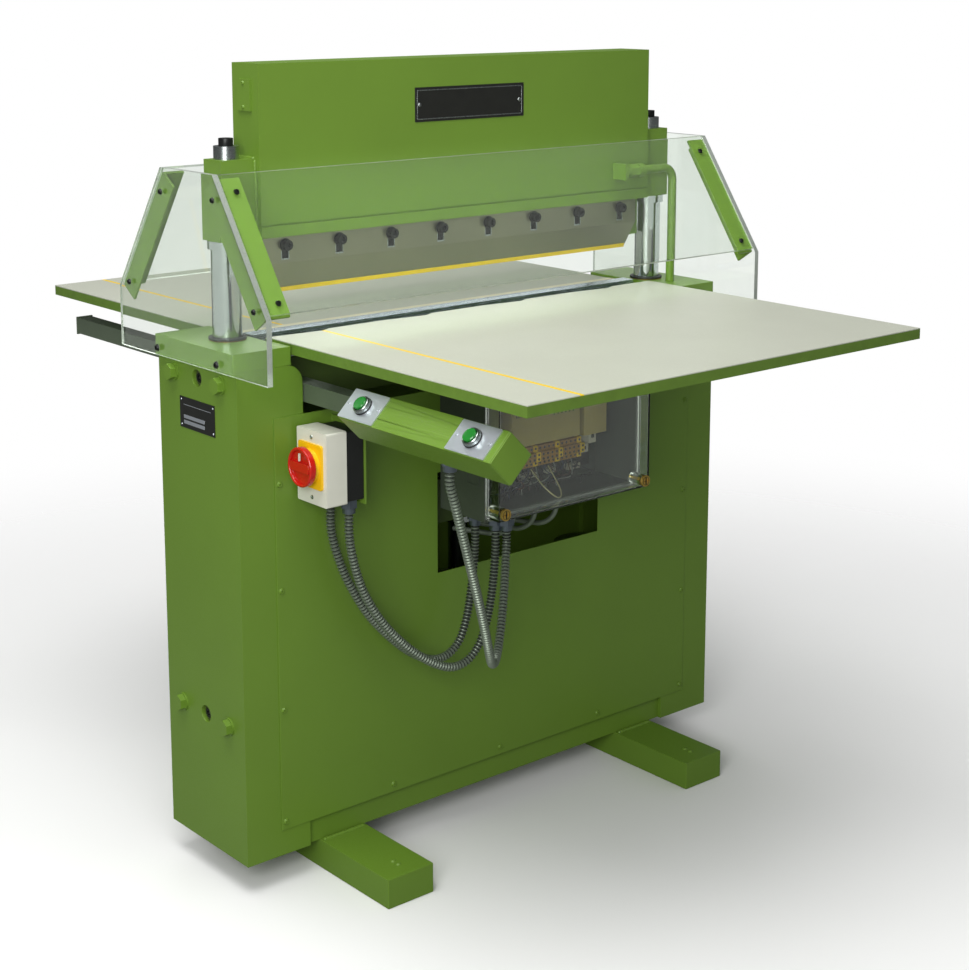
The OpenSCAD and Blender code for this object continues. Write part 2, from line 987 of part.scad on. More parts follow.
// Thin coloured strip along the knife's edge
module blade_strip() {
    z = [blade_low, blade_low + 7];
    color("gold") translate([-blade_tip, 0, 0]) rotate([90, 0, 90])
        linear_extrude(2 * blade_tip)
        polygon([[bevel_y(z[0]), z[0]], [bevel_y(z[1]), z[1]],
            [bevel_y(z[1]) - 1, z[1]], [bevel_y(z[0]) - 1, z[0]]]);
}

// Rod from the beam down into the cabinet, past the limit switches
module trip_rod() {
    face = -beam_t / 2;
    color(green) {
        box([341, 349], [trip_y - 14, face], [trip_z - 15, trip_z + 15]);
        translate([0, trip_y, trip_z]) {
            along_x(349, 12, 12);
            translate([361, 0, 0]) rotate([0, 90, 0]) hex_head(22, 22);
            along_x(383, 13, 14);
            along_x(390, trip_r, trip_x - trip_bend - 390);
            translate([trip_x - trip_bend, 0, -trip_bend]) rotate([90, 0, 0])
                rotate_extrude(angle = 90) translate([trip_bend, 0]) circle(r = trip_r);
            translate([trip_x, 0, 760 - trip_z])
                cylinder(r = trip_r, h = trip_z - trip_bend - 760);
            translate([trip_x, 0, 760 - trip_z]) cylinder(r = 11, h = 16);
        }
    }
}

module crosshead() {
    color(green) difference() {
        box([-505, 505], [-40, 40], crosshead_z);
        for (x = [-column_x, column_x]) translate([x, 0, crosshead_z[0] - 1])
            cylinder(r = column_r, h = crosshead_z[1] - crosshead_z[0] + 2);
    }
}

// Assembly -------------------------------------------------------------------

feet();
frame_bolts();
base_tray();
left_end_frame();
right_end_frame();
front_cover();
rear_cover();
cover_screws();
bed_blocks();
bed_beam();
guide_blocks();
guide_bushes();
lower_knife();
cutting_strip();
table_boards();
table_tops();
marker_strips();
table_arms();
rails();
guard_side_plates();
guard_sheets();
guard_bars();
guard_screws();
switch_base();
switch_cover();
switch_plate();
switch_handle();
conduit_glands();
console_body();
button_plates();
button_collars();
front_button();
rear_button();
box_body();
box_lid();
lid_screws();
mounting_plate();
controller();
terminals();
machine_leads();
conduit_switch();
conduit_supply();
conduit_console();
drive_cylinder();
oil_tank();
pump_motor();
oil_pipe();
limit_switches();
rating_plate();
ram_beam();
beam_end_plates();
maker_plate();
columns();
column_collars();
ram_screws();
blade();
blade_strip();
trip_rod();
crosshead();
piston_rod();
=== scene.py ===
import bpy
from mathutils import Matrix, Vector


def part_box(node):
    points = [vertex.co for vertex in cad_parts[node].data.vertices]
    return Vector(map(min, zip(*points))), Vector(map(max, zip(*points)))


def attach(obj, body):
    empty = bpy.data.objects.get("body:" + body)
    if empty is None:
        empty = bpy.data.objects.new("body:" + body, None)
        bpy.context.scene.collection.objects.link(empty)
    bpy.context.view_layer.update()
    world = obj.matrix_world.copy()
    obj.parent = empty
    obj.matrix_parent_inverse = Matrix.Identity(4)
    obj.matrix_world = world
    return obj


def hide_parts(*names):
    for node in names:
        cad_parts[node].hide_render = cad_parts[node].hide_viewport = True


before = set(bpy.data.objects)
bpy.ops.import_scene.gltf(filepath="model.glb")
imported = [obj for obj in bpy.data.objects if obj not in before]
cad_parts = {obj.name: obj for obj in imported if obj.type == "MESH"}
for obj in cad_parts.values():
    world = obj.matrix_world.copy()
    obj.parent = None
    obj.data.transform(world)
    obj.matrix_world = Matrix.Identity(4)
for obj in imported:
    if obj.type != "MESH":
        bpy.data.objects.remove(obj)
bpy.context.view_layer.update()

import math
import random

import bmesh
import bpy
from bpy.props import FloatProperty, FloatVectorProperty, IntProperty, PointerProperty
from mathutils import Matrix, Vector

bl_info = {
    "name": "Sheet cutter looks",
    "version": (1, 0, 0),
    "blender": (4, 5, 0),
    "location": "View3D > Sidebar > Cutter",
    "description": "Finishes and detailed pieces for the powered straight-knife sheet cutter",
    "category": "Object",
}


def linear(code):
    """Linear colour and full alpha from an sRGB hex code."""
    parts = [int(code[i:i + 2], 16) / 255 for i in (1, 3, 5)]
    return tuple(p / 12.92 if p < 0.04045 else ((p + 0.055) / 1.055) ** 2.4 for p in parts) + (1.0,)


# ---- properties


class CutterStageProps(bpy.types.PropertyGroup):
    """Camera, lights and floor."""
    lens: FloatProperty(
        name="Lens", description="Camera focal length in millimetres", default=68.54, min=20.0)
    key_power: FloatProperty(
        name="Key light", description="Power of the large light overhead", default=88.0, unit="POWER")
    fill_power: FloatProperty(
        name="Fill light", description="Power of the soft light at the left front", default=66.0,
        unit="POWER")
    sky: FloatProperty(name="Surround", description="Strength of the plain surround", default=0.35)
    floor_colour: FloatVectorProperty(
        name="Floor", description="Colour of the studio floor", default=linear("#f4f4f2")[:3],
        subtype="COLOR", size=3)


class CutterFinishProps(bpy.types.PropertyGroup):
    """Colours of the main finishes and sizes of the fine detail."""
    enamel: FloatVectorProperty(
        name="Enamel", description="Green of the painted steel", default=linear("#67892b")[:3],
        subtype="COLOR", size=3)
    laminate: FloatVectorProperty(
        name="Laminate", description="Colour of the table tops", default=linear("#babdae")[:3],
        subtype="COLOR", size=3)
    marker: FloatVectorProperty(
        name="Marker yellow", description="Yellow of the inlaid lines and of the knife's strip",
        default=linear("#f2cd10")[:3], subtype="COLOR", size=3)
    edge_break: FloatProperty(
        name="Edge break", description="Width of the broken edge on painted sheet", default=0.0012,
        unit="LENGTH")
    conduit_pitch: FloatProperty(
        name="Conduit pitch", description="Distance between two ridges of the conduit", default=0.0060,
        unit="LENGTH")
    conduit_radius: FloatProperty(
        name="Conduit radius", description="Outer radius of the conduit", default=0.0075, unit="LENGTH")
    weld_width: FloatProperty(
        name="Weld width", description="Width of a weld bead", default=0.007, unit="LENGTH")
    terminal_count: IntProperty(
        name="Terminals", description="Terminal blocks on the rail", default=15, min=4)


def finishes():
    return bpy.context.scene.cutter_finish


# ---- material tools


def add_node(tree, kind, label="", inputs=None, **settings):
    """One shader node; inputs maps a socket's name or number to a value or to another socket."""
    node = tree.nodes.new("ShaderNode" + kind)
    node.label = label
    for key, value in settings.items():
        setattr(node, key, value)
    for key, value in (inputs or {}).items():
        if isinstance(value, bpy.types.NodeSocket):
            tree.links.new(value, node.inputs[key])
        else:
            node.inputs[key].default_value = value
    return node


def blank(name):
    """An empty material and its node tree."""
    material = bpy.data.materials.new(name)
    material.use_nodes = True
    material.node_tree.nodes.clear()
    return material, material.node_tree


def close(tree, shader):
    add_node(tree, "OutputMaterial", "Surface", {"Surface": shader.outputs[0]})


def finish(name, colour, shade, patch_mm, rough, grain_mm, bump_mm,
           metallic=0.0, coat=0.0, stretch=(1, 1, 1)):
    """A surface with cloudy colour patches, a roughness range and a fine relief.

    patch_mm is the width of a patch, grain_mm that of one bump and bump_mm its height;
    stretch draws the relief out along an axis, as grinding or brushing does."""
    found = bpy.data.materials.get(name)
    if found:
        return found
    material, tree = blank(name)
    place = add_node(tree, "TexCoord", "Position in metres").outputs["Object"]
    patches = add_node(tree, "TexNoise", "Patches", {
        "Vector": place, "Scale": 1000 / patch_mm, "Detail": 4.0})
    tone = add_node(tree, "Mix", "Tone", {
        0: patches.outputs[0], 6: linear(colour), 7: linear(shade)}, data_type="RGBA")
    run = add_node(tree, "Mapping", "Direction of the relief", {"Vector": place, "Scale": stretch})
    grain = add_node(tree, "TexNoise", "Relief", {
        "Vector": run.outputs[0], "Scale": 1000 / grain_mm, "Detail": 3.0})
    gloss = add_node(tree, "MapRange", "Gloss range", {
        "Value": grain.outputs[0], "From Min": 0.3, "From Max": 0.7, "To Min": rough[0], "To Max": rough[1]})
    relief = add_node(tree, "Bump", "Relief height", {"Height": grain.outputs[0], "Distance": bump_mm / 1000})
    shader = add_node(tree, "BsdfPrincipled", name, {
        "Base Color": tone.outputs[2], "Metallic": metallic, "Roughness": gloss.outputs[0],
        "Coat Weight": coat, "Normal": relief.outputs[0]})
    close(tree, shader)
    return material


def hex_of(colour):
    """sRGB hex code of a linear colour property."""
    shown = [12.92 * c if c < 0.0031308 else 1.055 * c ** (1 / 2.4) - 0.055 for c in colour]
    return "#" + "".join(f"{round(255 * max(0, min(1, c))):02x}" for c in shown)


def darker(code, by):
    """The same colour with each sRGB part multiplied."""
    return "#" + "".join(f"{round(int(code[i:i + 2], 16) * by):02x}" for i in (1, 3, 5))


# ---- finishes


# What each surface is: name, colour, colour of its patches, patch width in mm, roughness range, then the
# width and height of its relief in mm. Metallic, coat and the stretch of the relief follow where they
# aren't 0, 0 and (1, 1, 1). A colour that is a pair is a property and how much of it is left.
SURFACES = {
    # Air-dried alkyd enamel sprayed on sheet steel: a soft gloss with orange peel about 2 mm across
    "sprayed_enamel": ("Sprayed alkyd enamel", ("enamel", 1), ("enamel", 0.93), 160, (0.36, 0.48), 2.2, 0.05),
    # The same enamel darkened as painted shade, on parts inside the cabinet: darker and duller
    "shaded_enamel": (
        "Enamel darkened as painted shade", ("enamel", 0.72), ("enamel", 0.55), 60, (0.45, 0.65), 2.2, 0.06),
    # Painted edge of a particle board: flatter, with chips of about 4 mm showing through
    "board_edge": ("Painted board edge", ("enamel", 0.95), ("enamel", 0.80), 18, (0.45, 0.60), 4.0, 0.12),
    # High-pressure laminate with a fine satin texture, handled a little darker in places
    "satin_laminate": (
        "Satin high-pressure laminate", ("laminate", 1), ("laminate", 0.955), 120, (0.40, 0.52), 1.6, 0.02),
    # Yellow PVC laid into the boards and along the knife: even, with a low shine
    "marker_yellow": ("Inlaid PVC strip", ("marker", 1), ("marker", 0.94), 40, (0.35, 0.5), 1.5, 0.02),
    # Surface-ground tool steel: lines along the knife, drawn 1.2 mm apart so that they show
    "ground_steel": (
        "Surface-ground tool steel", "#96967e", "#7d7f6c", 180, (0.28, 0.42), 1.2, 0.02,
        0.9, 0.0, (0.02, 1, 1)),
    # Lapped lower knife: bright, with faint long lines
    "polished_edge": (
        "Lapped tool steel", "#b9c6ce", "#97a5ad", 200, (0.20, 0.30), 1.4, 0.01, 0.85, 0.0, (0.02, 1, 1)),
    # Hard chrome on ground bar: polished round the bar, with an oily haze
    "hard_chrome": (
        "Hard-chromed bar", "#c6cccb", "#b2bab8", 90, (0.08, 0.20), 1.5, 0.01, 1.0, 0.0, (1, 1, 6)),
    # Hot black oxide on screws: dark and oily; as blocks in the knife's and lid screws' slots, painted shade
    "black_oxide": ("Black-oxide steel", "#1d1f1d", "#2b2d2b", 8, (0.30, 0.45), 0.8, 0.02, 0.6),
    # Bright zinc on small fittings: clean silver, slightly blurred; at the knife's slots, painted highlights
    "bright_zinc": ("Bright zinc plate", "#b9bfbd", "#9aa29f", 12, (0.22, 0.36), 1.0, 0.02, 1.0),
    # Dull nickel on the glands: a soft blue-grey metal
    "nickel_plate": ("Dull nickel plate", "#7d8790", "#5f6871", 12, (0.30, 0.45), 0.9, 0.02, 0.9),
    # Turned brass screw heads, slightly dulled
    "turned_brass": ("Turned brass", "#e0bf62", "#c7a24a", 10, (0.26, 0.40), 0.7, 0.02, 0.7),
    # Bushes of bearing bronze, brown with oil
    "bearing_bronze": ("Oiled bearing bronze", "#8f6a34", "#6e5228", 14, (0.30, 0.45), 0.9, 0.03, 1.0),
    # Natural anodised aluminium, brushed along the console
    "anodised_plate": (
        "Brushed anodised aluminium", "#e3e8ee", "#d2d9e0", 50, (0.30, 0.42), 0.9, 0.015,
        0.85, 0.0, (1, 0.04, 1)),
    # Matt black paint on plain steel: almost no shine
    "black_paint": ("Matt black paint", "#1b1d1a", "#262925", 50, (0.45, 0.62), 2.0, 0.05),
    # Thin dark green paint over drawn bar
    "bar_paint": ("Thin dark green paint", "#4b5745", "#5a6652", 60, (0.40, 0.55), 2.0, 0.05),
    # Sawn cast nylon strip, with fine saw marks across it
    "cream_nylon": (
        "Sawn cast nylon", "#e6e1c6", "#d2ccae", 30, (0.45, 0.6), 1.2, 0.05, 0.0, 0.0, (1, 0.2, 1)),
    # Light grey moulded thermoplastic of the switch's cover: fine spark-eroded texture
    "moulded_grey": ("Moulded light grey ABS", "#dcdcce", "#cfcfc0", 40, (0.38, 0.5), 0.8, 0.02),
    # Black polyamide mouldings: fine texture, soft shine; in terminal holes and grille slots, painted shade
    "moulded_dark": ("Moulded black polyamide", "#141614", "#1d1f1d", 25, (0.38, 0.52), 0.8, 0.03),
    # Dark grey glass-filled polyester of the control box: dull, faintly mottled by the fibres
    "box_grey": ("Glass-filled polyester, dark grey", "#4a5246", "#3e463b", 30, (0.35, 0.5), 1.0, 0.03),
    # Moulded ABS behind the handle: a clear yellow with a low gloss
    "moulded_yellow": ("Moulded yellow ABS", "#f2c10f", "#e6b40c", 30, (0.28, 0.4), 0.8, 0.015),
    # Moulded ABS of the handle: glossy, polished by hands
    "moulded_red": ("Moulded red ABS", "#c8190f", "#b5140c", 30, (0.22, 0.34), 0.8, 0.015, 0.0, 0.2),
    # Polycarbonate of the buttons: the glossiest of the plastics
    "lens_green": (
        "Moulded green polycarbonate", "#1c7a26", "#166a20", 12, (0.16, 0.26), 0.8, 0.01, 0.0, 0.3),
    # Neoprene wipers and seals: black and dull
    "rubber_black": ("Black neoprene sheath", "#191b19", "#242624", 10, (0.5, 0.65), 0.9, 0.04),
    # Noryl case of the controller: flat beige
    "controller_beige": ("Moulded beige noryl", "#b8a862", "#a89854", 40, (0.4, 0.55), 1.0, 0.03),
    # Melamine terminal blocks: ochre, a little browned
    "terminal_ochre": ("Moulded melamine, ochre", "#b3842a", "#8f6c26", 9, (0.4, 0.55), 0.9, 0.03),
    # PBT relay bases: off-white and flat
    "relay_white": ("Moulded off-white PBT", "#c9c5b0", "#b4b09c", 14, (0.4, 0.5), 0.9, 0.02),
    # Passivated zinc mounting plate, dark in the box's shade
    "plated_tray": ("Passivated zinc sheet", "#45453a", "#393a30", 35, (0.3, 0.45), 1.2, 0.02, 0.7),
    # Galvanised strip-wound conduit: grey-green zinc, dull in the grooves
    "conduit_steel": ("Galvanised strip-wound steel", "#8a9585", "#727d6e", 12, (0.38, 0.50), 1.0, 0.03, 0.6),
    # Painted shade at the bottom of the conduit's grooves
    "conduit_groove": ("Zinc groove with painted shade", "#3c433a", "#2f352e", 9, (0.5, 0.65), 1.0, 0.02, 0.3),
    # Black anodised plates: even, with a satin shine
    "etched_black": ("Black anodised plate", "#191a17", "#232420", 20, (0.3, 0.42), 0.9, 0.01),
}


def surface(key):
    """The material of a key in SURFACES; anything but a key is a material already."""
    if not isinstance(key, str):
        return key
    name, colour, shade, *rest = SURFACES[key]
    tones = [
        tone if isinstance(tone, str) else darker(hex_of(getattr(finishes(), tone[0])), tone[1])
        for tone in (colour, shade)]
    return finish(name, *tones, *rest)


ACRYLIC_IOR = 1.49


def clear_acrylic():
    """Cast acrylic sheet: clear, very smooth, with a faint green cast and wipe marks."""
    found = bpy.data.materials.get("Cast acrylic sheet")
    if found:
        return found
    material, tree = blank("Cast acrylic sheet")
    place = add_node(tree, "TexCoord", "Position in metres").outputs["Object"]
    wipes = add_node(tree, "TexNoise", "Wipe marks, 40 mm", {"Vector": place, "Scale": 25.0, "Detail": 5.0})
    haze = add_node(tree, "MapRange", "Haze", {
        "Value": wipes.outputs[0], "From Min": 0.35, "From Max": 0.75, "To Min": 0.0, "To Max": 0.012})
    tint = add_node(tree, "Mix", "Faint tint", {
        0: wipes.outputs[0], 6: linear("#f4f8f3"), 7: linear("#eef4ee")}, data_type="RGBA")
    shader = add_node(tree, "BsdfPrincipled", "Cast acrylic sheet", {
        "Base Color": tint.outputs[2], "Roughness": haze.outputs[0], "Transmission Weight": 1.0,
        "IOR": ACRYLIC_IOR})
    through = add_node(tree, "BsdfTransparent", "Lamp light let through", {"Color": linear("#f1f5f0")})
    ray = add_node(tree, "LightPath", "Lamp light or sight")
    close(tree, add_node(tree, "MixShader", "Clear to the lamps", {
        0: ray.outputs["Is Shadow Ray"], 1: shader.outputs[0], 2: through.outputs[0]}))
    return material


def sawn_acrylic():
    """Sawn and scraped edge of the acrylic: whitish and half clear, catching the light."""
    edge = finish("Scraped acrylic edge", "#dfe8dc", "#c3cfc1", 8, (0.25, 0.4), 1.0, 0.05)
    for node in edge.node_tree.nodes:
        if node.type == "BSDF_PRINCIPLED":
            node.inputs["Transmission Weight"].default_value = 0.6
            node.inputs["IOR"].default_value = ACRYLIC_IOR
    return edge


# ---- mesh tools


def add_piece(name, bm, materials, body, bevel=0.0, replaces=()):
    """Turns a bmesh into a piece that rides on a body; materials are keys of SURFACES or materials."""
    mesh = bpy.data.meshes.new(name)
    bmesh.ops.recalc_face_normals(bm, faces=bm.faces)
    bm.to_mesh(mesh)
    bm.free()
    for material in materials:
        mesh.materials.append(surface(material))
    mesh.shade_smooth()
    mesh.set_sharp_from_angle(angle=math.radians(35))
    piece = bpy.data.objects.new(name, mesh)
    bpy.context.scene.collection.objects.link(piece)
    if bevel:
        break_edges(piece, bevel)
    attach(piece, body)
    if replaces:
        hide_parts(*replaces)
    return piece


def break_edges(piece, width):
    edge = piece.modifiers.new("Broken edges", "BEVEL")
    edge.width = width
    edge.segments = 2
    edge.limit_method = "ANGLE"
    edge.angle_limit = math.radians(40)
    edge.harden_normals = True


def paint(material, *names, bevel=0.0):
    """Gives CAD nodes a finish and, where asked, a broken edge."""
    for name in names:
        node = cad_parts[name]
        node.data.materials.clear()
        node.data.materials.append(surface(material))
        if bevel:
            weld = node.modifiers.new("Joined faces", "WELD")
            weld.merge_threshold = 0.00001
            break_edges(node, bevel)


def block(bm, low, high, material=0):
    """A box between two corners."""
    low, high = Vector(low), Vector(high)
    place = Matrix.Translation((low + high) / 2) @ Matrix.Diagonal((*(high - low), 1))
    made = bmesh.ops.create_cube(bm, size=1.0, matrix=place)
    for face in {f for v in made["verts"] for f in v.link_faces}:
        face.material_index = material


def edge_bars(x0, y0, x1, y1, wide):
    """Four flat bars along the edges of a rectangle, each as its two corners."""
    return (
        (x0, y0, x1, y0 + wide), (x0, y1 - wide, x1, y1),
        (x0, y0 + wide, x0 + wide, y1 - wide), (x1 - wide, y0 + wide, x1, y1 - wide))


def sweep(bm, rings, closed_ends=True, material=0):
    """Faces between rings of points."""
    rows = [[bm.verts.new(p) for p in ring] for ring in rings]
    join_rows(bm, rows, material)
    if closed_ends:
        for row in (rows[0], rows[-1]):
            bm.faces.new(row).material_index = material


def join_rows(bm, rows, material):
    count = len(rows[0])
    for a, b in zip(rows, rows[1:]):
        for k in range(count):
            after = (k + 1) % count
            bm.faces.new((a[k], a[after], b[after], b[k])).material_index = material


def circle(place, radius, height, steps):
    """Points round local Z at a height."""
    turns = [math.tau * k / steps for k in range(steps)]
    return [place @ Vector((radius * math.cos(t), radius * math.sin(t), height)) for t in turns]


def turned(bm, profile, place, steps=40, material=0):
    """A turned shape from (radius, height) pairs, with place setting its axis."""
    rings = [circle(place, max(radius, 1e-5), height, steps) for radius, height in profile]
    sweep(bm, rings, material=material)


def turned_ring(bm, inner, outer, height, place, steps=40, material=0):
    """A flat ring with a square section."""
    section = ((inner, 0.0), (outer, 0.0), (outer, height), (inner, height))
    rows = [[bm.verts.new(p) for p in circle(place, radius, level, steps)] for radius, level in section]
    join_rows(bm, rows + rows[:1], material)


def small_head(bm, axis, at, profile_mm, steps=20, material=0):
    """The head of a screw or rivet from (radius, height) pairs in millimetres, starting from its axis."""
    profile = [(0.0, 0.0)] + [(radius / 1000, height / 1000) for radius, height in profile_mm]
    turned(bm, profile, facing(axis, at), steps, material)


def tube(bm, path, radii, sides=12, material=0):
    """A round tube along a path with one radius per point."""
    side = None
    rings = []
    turns = [math.tau * k / sides for k in range(sides)]
    for i, point in enumerate(path):
        run = (path[min(i + 1, len(path) - 1)] - path[max(i - 1, 0)]).normalized()
        if side is None:
            side = run.orthogonal().normalized()
        side = (side - run * side.dot(run)).normalized()
        other = run.cross(side)
        rings.append([point + radii[i] * (math.cos(t) * side + math.sin(t) * other) for t in turns])
    sweep(bm, rings, material=material)


def smooth_route(points, step):
    """Points a step apart on one smooth curve through the given points."""
    points = [Vector(p) for p in points]
    ends = [2 * points[0] - points[1]] + points + [2 * points[-1] - points[-2]]
    dense = []
    for i in range(1, len(ends) - 2):
        a, b, c, d = ends[i - 1:i + 3]
        for k in range(24):
            t = k / 24
            dense.append(0.5 * (
                2 * b + (c - a) * t + (2 * a - 5 * b + 4 * c - d) * t ** 2
                + (3 * b - a - 3 * c + d) * t ** 3))
    dense.append(points[-1])
    total = sum((b - a).length for a, b in zip(dense, dense[1:]))
    count = max(2, round(total / step))
    route, passed, i = [dense[0]], 0.0, 0
    for n in range(1, count):
        goal = total * n / count
        while passed + (dense[i + 1] - dense[i]).length < goal:
            passed += (dense[i + 1] - dense[i]).length
            i += 1
        gap = dense[i + 1] - dense[i]
        route.append(dense[i] + gap * ((goal - passed) / gap.length))
    route.append(dense[-1])
    return route


def weld_bead(bm, start, end, width):
    """A rippled fillet bead between two points."""
    start, end = Vector(start), Vector(end)
    ripple = width * 0.28
    count = max(6, round((end - start).length / ripple))
    steps = range(count + 1)
    path = [start.lerp(end, k / count) for k in steps]
    radii = [width / 2 * (1.0 + 0.10 * math.sin(k * 1.9) + 0.05 * math.sin(k * 0.7)) for k in steps]
    radii[0] = radii[-1] = width / 4
    tube(bm, path, radii, sides=10)


def facing(axis, at):
    """Matrix that turns local Z to an axis at a point."""
    return Matrix.Translation(Vector(at)) @ Vector(axis).to_track_quat("Z", "Y").to_matrix().to_4x4()


# ---- stage


CAMERA_AT = (-2.0330, -2.4783, 1.4684)
CAMERA_TILT, CAMERA_TURN = -10.296, -40.223   # degrees, from level and from looking along +Y


class CUTTER_OT_stage(bpy.types.Operator):
    """Camera, floor and studio light"""
    bl_idname = "cutter.stage"
    bl_label = "Stage"

    def execute(self, context):
        props = context.scene.cutter_stage
        scene = context.scene
        scene.view_settings.view_transform = "Standard"
        self.add_camera(scene, props)
        self.add_floor(scene, props)
        self.add_area(scene, "Key overhead", (-0.9, -0.5, 3.5), (0, 0, 0.8), 2.2, props.key_power)
        self.add_area(
            scene, "Fill from the left front", (-2.5, -2.1, 1.7), (-0.2, 0, 0.7), 1.5, props.fill_power)
        behind = self.add_area(
            scene, "Fill from behind", (1.8, 3.0, 2.2), (0, 0, 0.8), 2.0, props.fill_power * 0.4)
        behind.visible_glossy = False
        self.set_surround(scene, props)
        return {"FINISHED"}

    def add_camera(self, scene, props):
        data = bpy.data.cameras.new("Camera")
        data.lens = props.lens
        data.sensor_width = 36.0
        data.sensor_fit = "HORIZONTAL"
        data.shift_y = -0.18
        camera = bpy.data.objects.new("Camera", data)
        camera.location = CAMERA_AT
        camera.rotation_euler = (math.radians(90 + CAMERA_TILT), 0, math.radians(CAMERA_TURN))
        scene.collection.objects.link(camera)
        scene.camera = camera

    def add_area(self, scene, name, at, towards, size, power):
        data = bpy.data.lights.new(name, "AREA")
        data.size = size
        data.energy = power
        lamp = bpy.data.objects.new(name, data)
        lamp.matrix_world = facing(Vector(at) - Vector(towards), at)
        scene.collection.objects.link(lamp)
        return lamp

    def add_floor(self, scene, props):
        """A pale floor that throws little light back and fades out round the machine."""
        material, tree = blank("Studio floor")
        place = add_node(tree, "TexCoord", "Position in metres").outputs["Object"]
        cloud = add_node(tree, "TexNoise", "Faint clouds", {"Vector": place, "Scale": 1.5})
        pale = (*props.floor_colour, 1.0)
        tone = add_node(tree, "Mix", "Tone", {
            0: cloud.outputs[0], 6: pale, 7: linear("#f0f0ee")}, data_type="RGBA")
        board = add_node(tree, "BsdfPrincipled", "Studio floor", {
            "Base Color": tone.outputs[2], "Roughness": 0.9})
        dull = add_node(tree, "BsdfDiffuse", "Weak bounce", {"Color": linear("#8f918c")})
        seen = add_node(tree, "LightPath", "Seen directly")
        board = add_node(tree, "MixShader", "Floor", {
            0: seen.outputs["Is Camera Ray"], 1: dull.outputs[0], 2: board.outputs[0]})
        reach = add_node(tree, "VectorMath", "Distance from the middle", {0: place}, operation="LENGTH")
        fade = add_node(tree, "MapRange", "Fades into the surround", {
            "Value": reach.outputs["Value"], "From Min": 0.9, "From Max": 2.7, "To Min": 0.0, "To Max": 1.0},
            interpolation_type="SMOOTHSTEP")
        clear = add_node(tree, "BsdfTransparent", "Surround seen through")
        close(tree, add_node(tree, "MixShader", "Floor's soft edge", {
            0: fade.outputs[0], 1: board.outputs[0], 2: clear.outputs[0]}))
        bm = bmesh.new()
        bmesh.ops.create_grid(bm, x_segments=8, y_segments=8, size=9.0)
        mesh = bpy.data.meshes.new("Floor")
        bm.to_mesh(mesh)
        bm.free()
        mesh.materials.append(material)
        floor = bpy.data.objects.new("Floor", mesh)
        floor.location.z = -0.0005   # just below the feet
        scene.collection.objects.link(floor)

    def set_surround(self, scene, props):
        """Soft ambient light, darker where a surface mirrors it, and white where it is seen itself."""
        world = bpy.data.worlds.new("Plain surround")
        scene.world = world
        world.use_nodes = True
        tree = world.node_tree
        tree.nodes.clear()
        cool, mirrored = linear("#fbfcff"), 0.4
        dim = add_node(tree, "Background", "Ambient light", {"Color": cool, "Strength": props.sky})
        dark = add_node(tree, "Background", "Dark studio in reflections", {
            "Color": cool, "Strength": props.sky * mirrored})
        seen = add_node(tree, "LightPath", "Seen directly")
        plain = add_node(tree, "Background", "White backdrop", {"Color": linear("#ffffff"), "Strength": 1.0})
        room = add_node(tree, "MixShader", "Room", {
            0: seen.outputs["Is Glossy Ray"], 1: dim.outputs[0], 2: dark.outputs[0]})
        unlit = add_node(tree, "Math", "Not light off a surface", {
            0: seen.outputs["Diffuse Depth"], 1: 0.5}, operation="LESS_THAN")
        through = add_node(tree, "Math", "Seen through the guard", {
            0: seen.outputs["Is Transmission Ray"], 1: unlit.outputs[0]}, operation="MULTIPLY")
        direct = add_node(tree, "Math", "Seen or seen through", {
            0: seen.outputs["Is Camera Ray"], 1: through.outputs[0]}, operation="MAXIMUM")
        mixed = add_node(tree, "MixShader", "Backdrop", {
            0: direct.outputs[0], 1: room.outputs[0], 2: plain.outputs[0]})
        add_node(tree, "OutputWorld", "Surround", {"Surface": mixed.outputs[0]})


# ---- conduits

# Centre lines from gland to gland, in metres
SWITCH_ROUTE = [
    (-0.375, -0.185, 0.630), (-0.375, -0.185, 0.592), (-0.366, -0.184, 0.545), (-0.346, -0.185, 0.488),
    (-0.312, -0.188, 0.432), (-0.266, -0.190, 0.382), (-0.222, -0.193, 0.347), (-0.182, -0.196, 0.327),
    (-0.150, -0.198, 0.327), (-0.125, -0.201, 0.346), (-0.109, -0.204, 0.380), (-0.099, -0.207, 0.425),
    (-0.094, -0.210, 0.475), (-0.092, -0.212, 0.522), (-0.092, -0.212, 0.553)]
SUPPLY_ROUTE = [
    (-0.375, -0.135, 0.630), (-0.375, -0.135, 0.592), (-0.367, -0.140, 0.548), (-0.350, -0.148, 0.498),
    (-0.318, -0.156, 0.440), (-0.275, -0.162, 0.390), (-0.232, -0.165, 0.354), (-0.192, -0.165, 0.334),
    (-0.160, -0.165, 0.334), (-0.134, -0.165, 0.352), (-0.118, -0.165, 0.386), (-0.108, -0.165, 0.430),
    (-0.102, -0.166, 0.478), (-0.100, -0.168, 0.522), (-0.100, -0.168, 0.553)]
CONSOLE_ROUTE = [
    (-0.400, -0.470, 0.762), (-0.400, -0.470, 0.742), (-0.390, -0.468, 0.712), (-0.372, -0.459, 0.672),
    (-0.343, -0.443, 0.610), (-0.305, -0.419, 0.536), (-0.267, -0.392, 0.464), (-0.238, -0.368, 0.414),
    (-0.215, -0.347, 0.386), (-0.190, -0.326, 0.378), (-0.166, -0.306, 0.392), (-0.142, -0.286, 0.424),
    (-0.118, -0.264, 0.462), (-0.094, -0.240, 0.500), (-0.080, -0.226, 0.530), (-0.080, -0.226, 0.553)]


# Along the conduit four rings of the mesh make one ridge and one groove
RINGS_PER_RIDGE, CONDUIT_SIDES = 4, 14
GROOVE_DEPTHS = (0.0, 0.0, 0.0020, 0.0020)


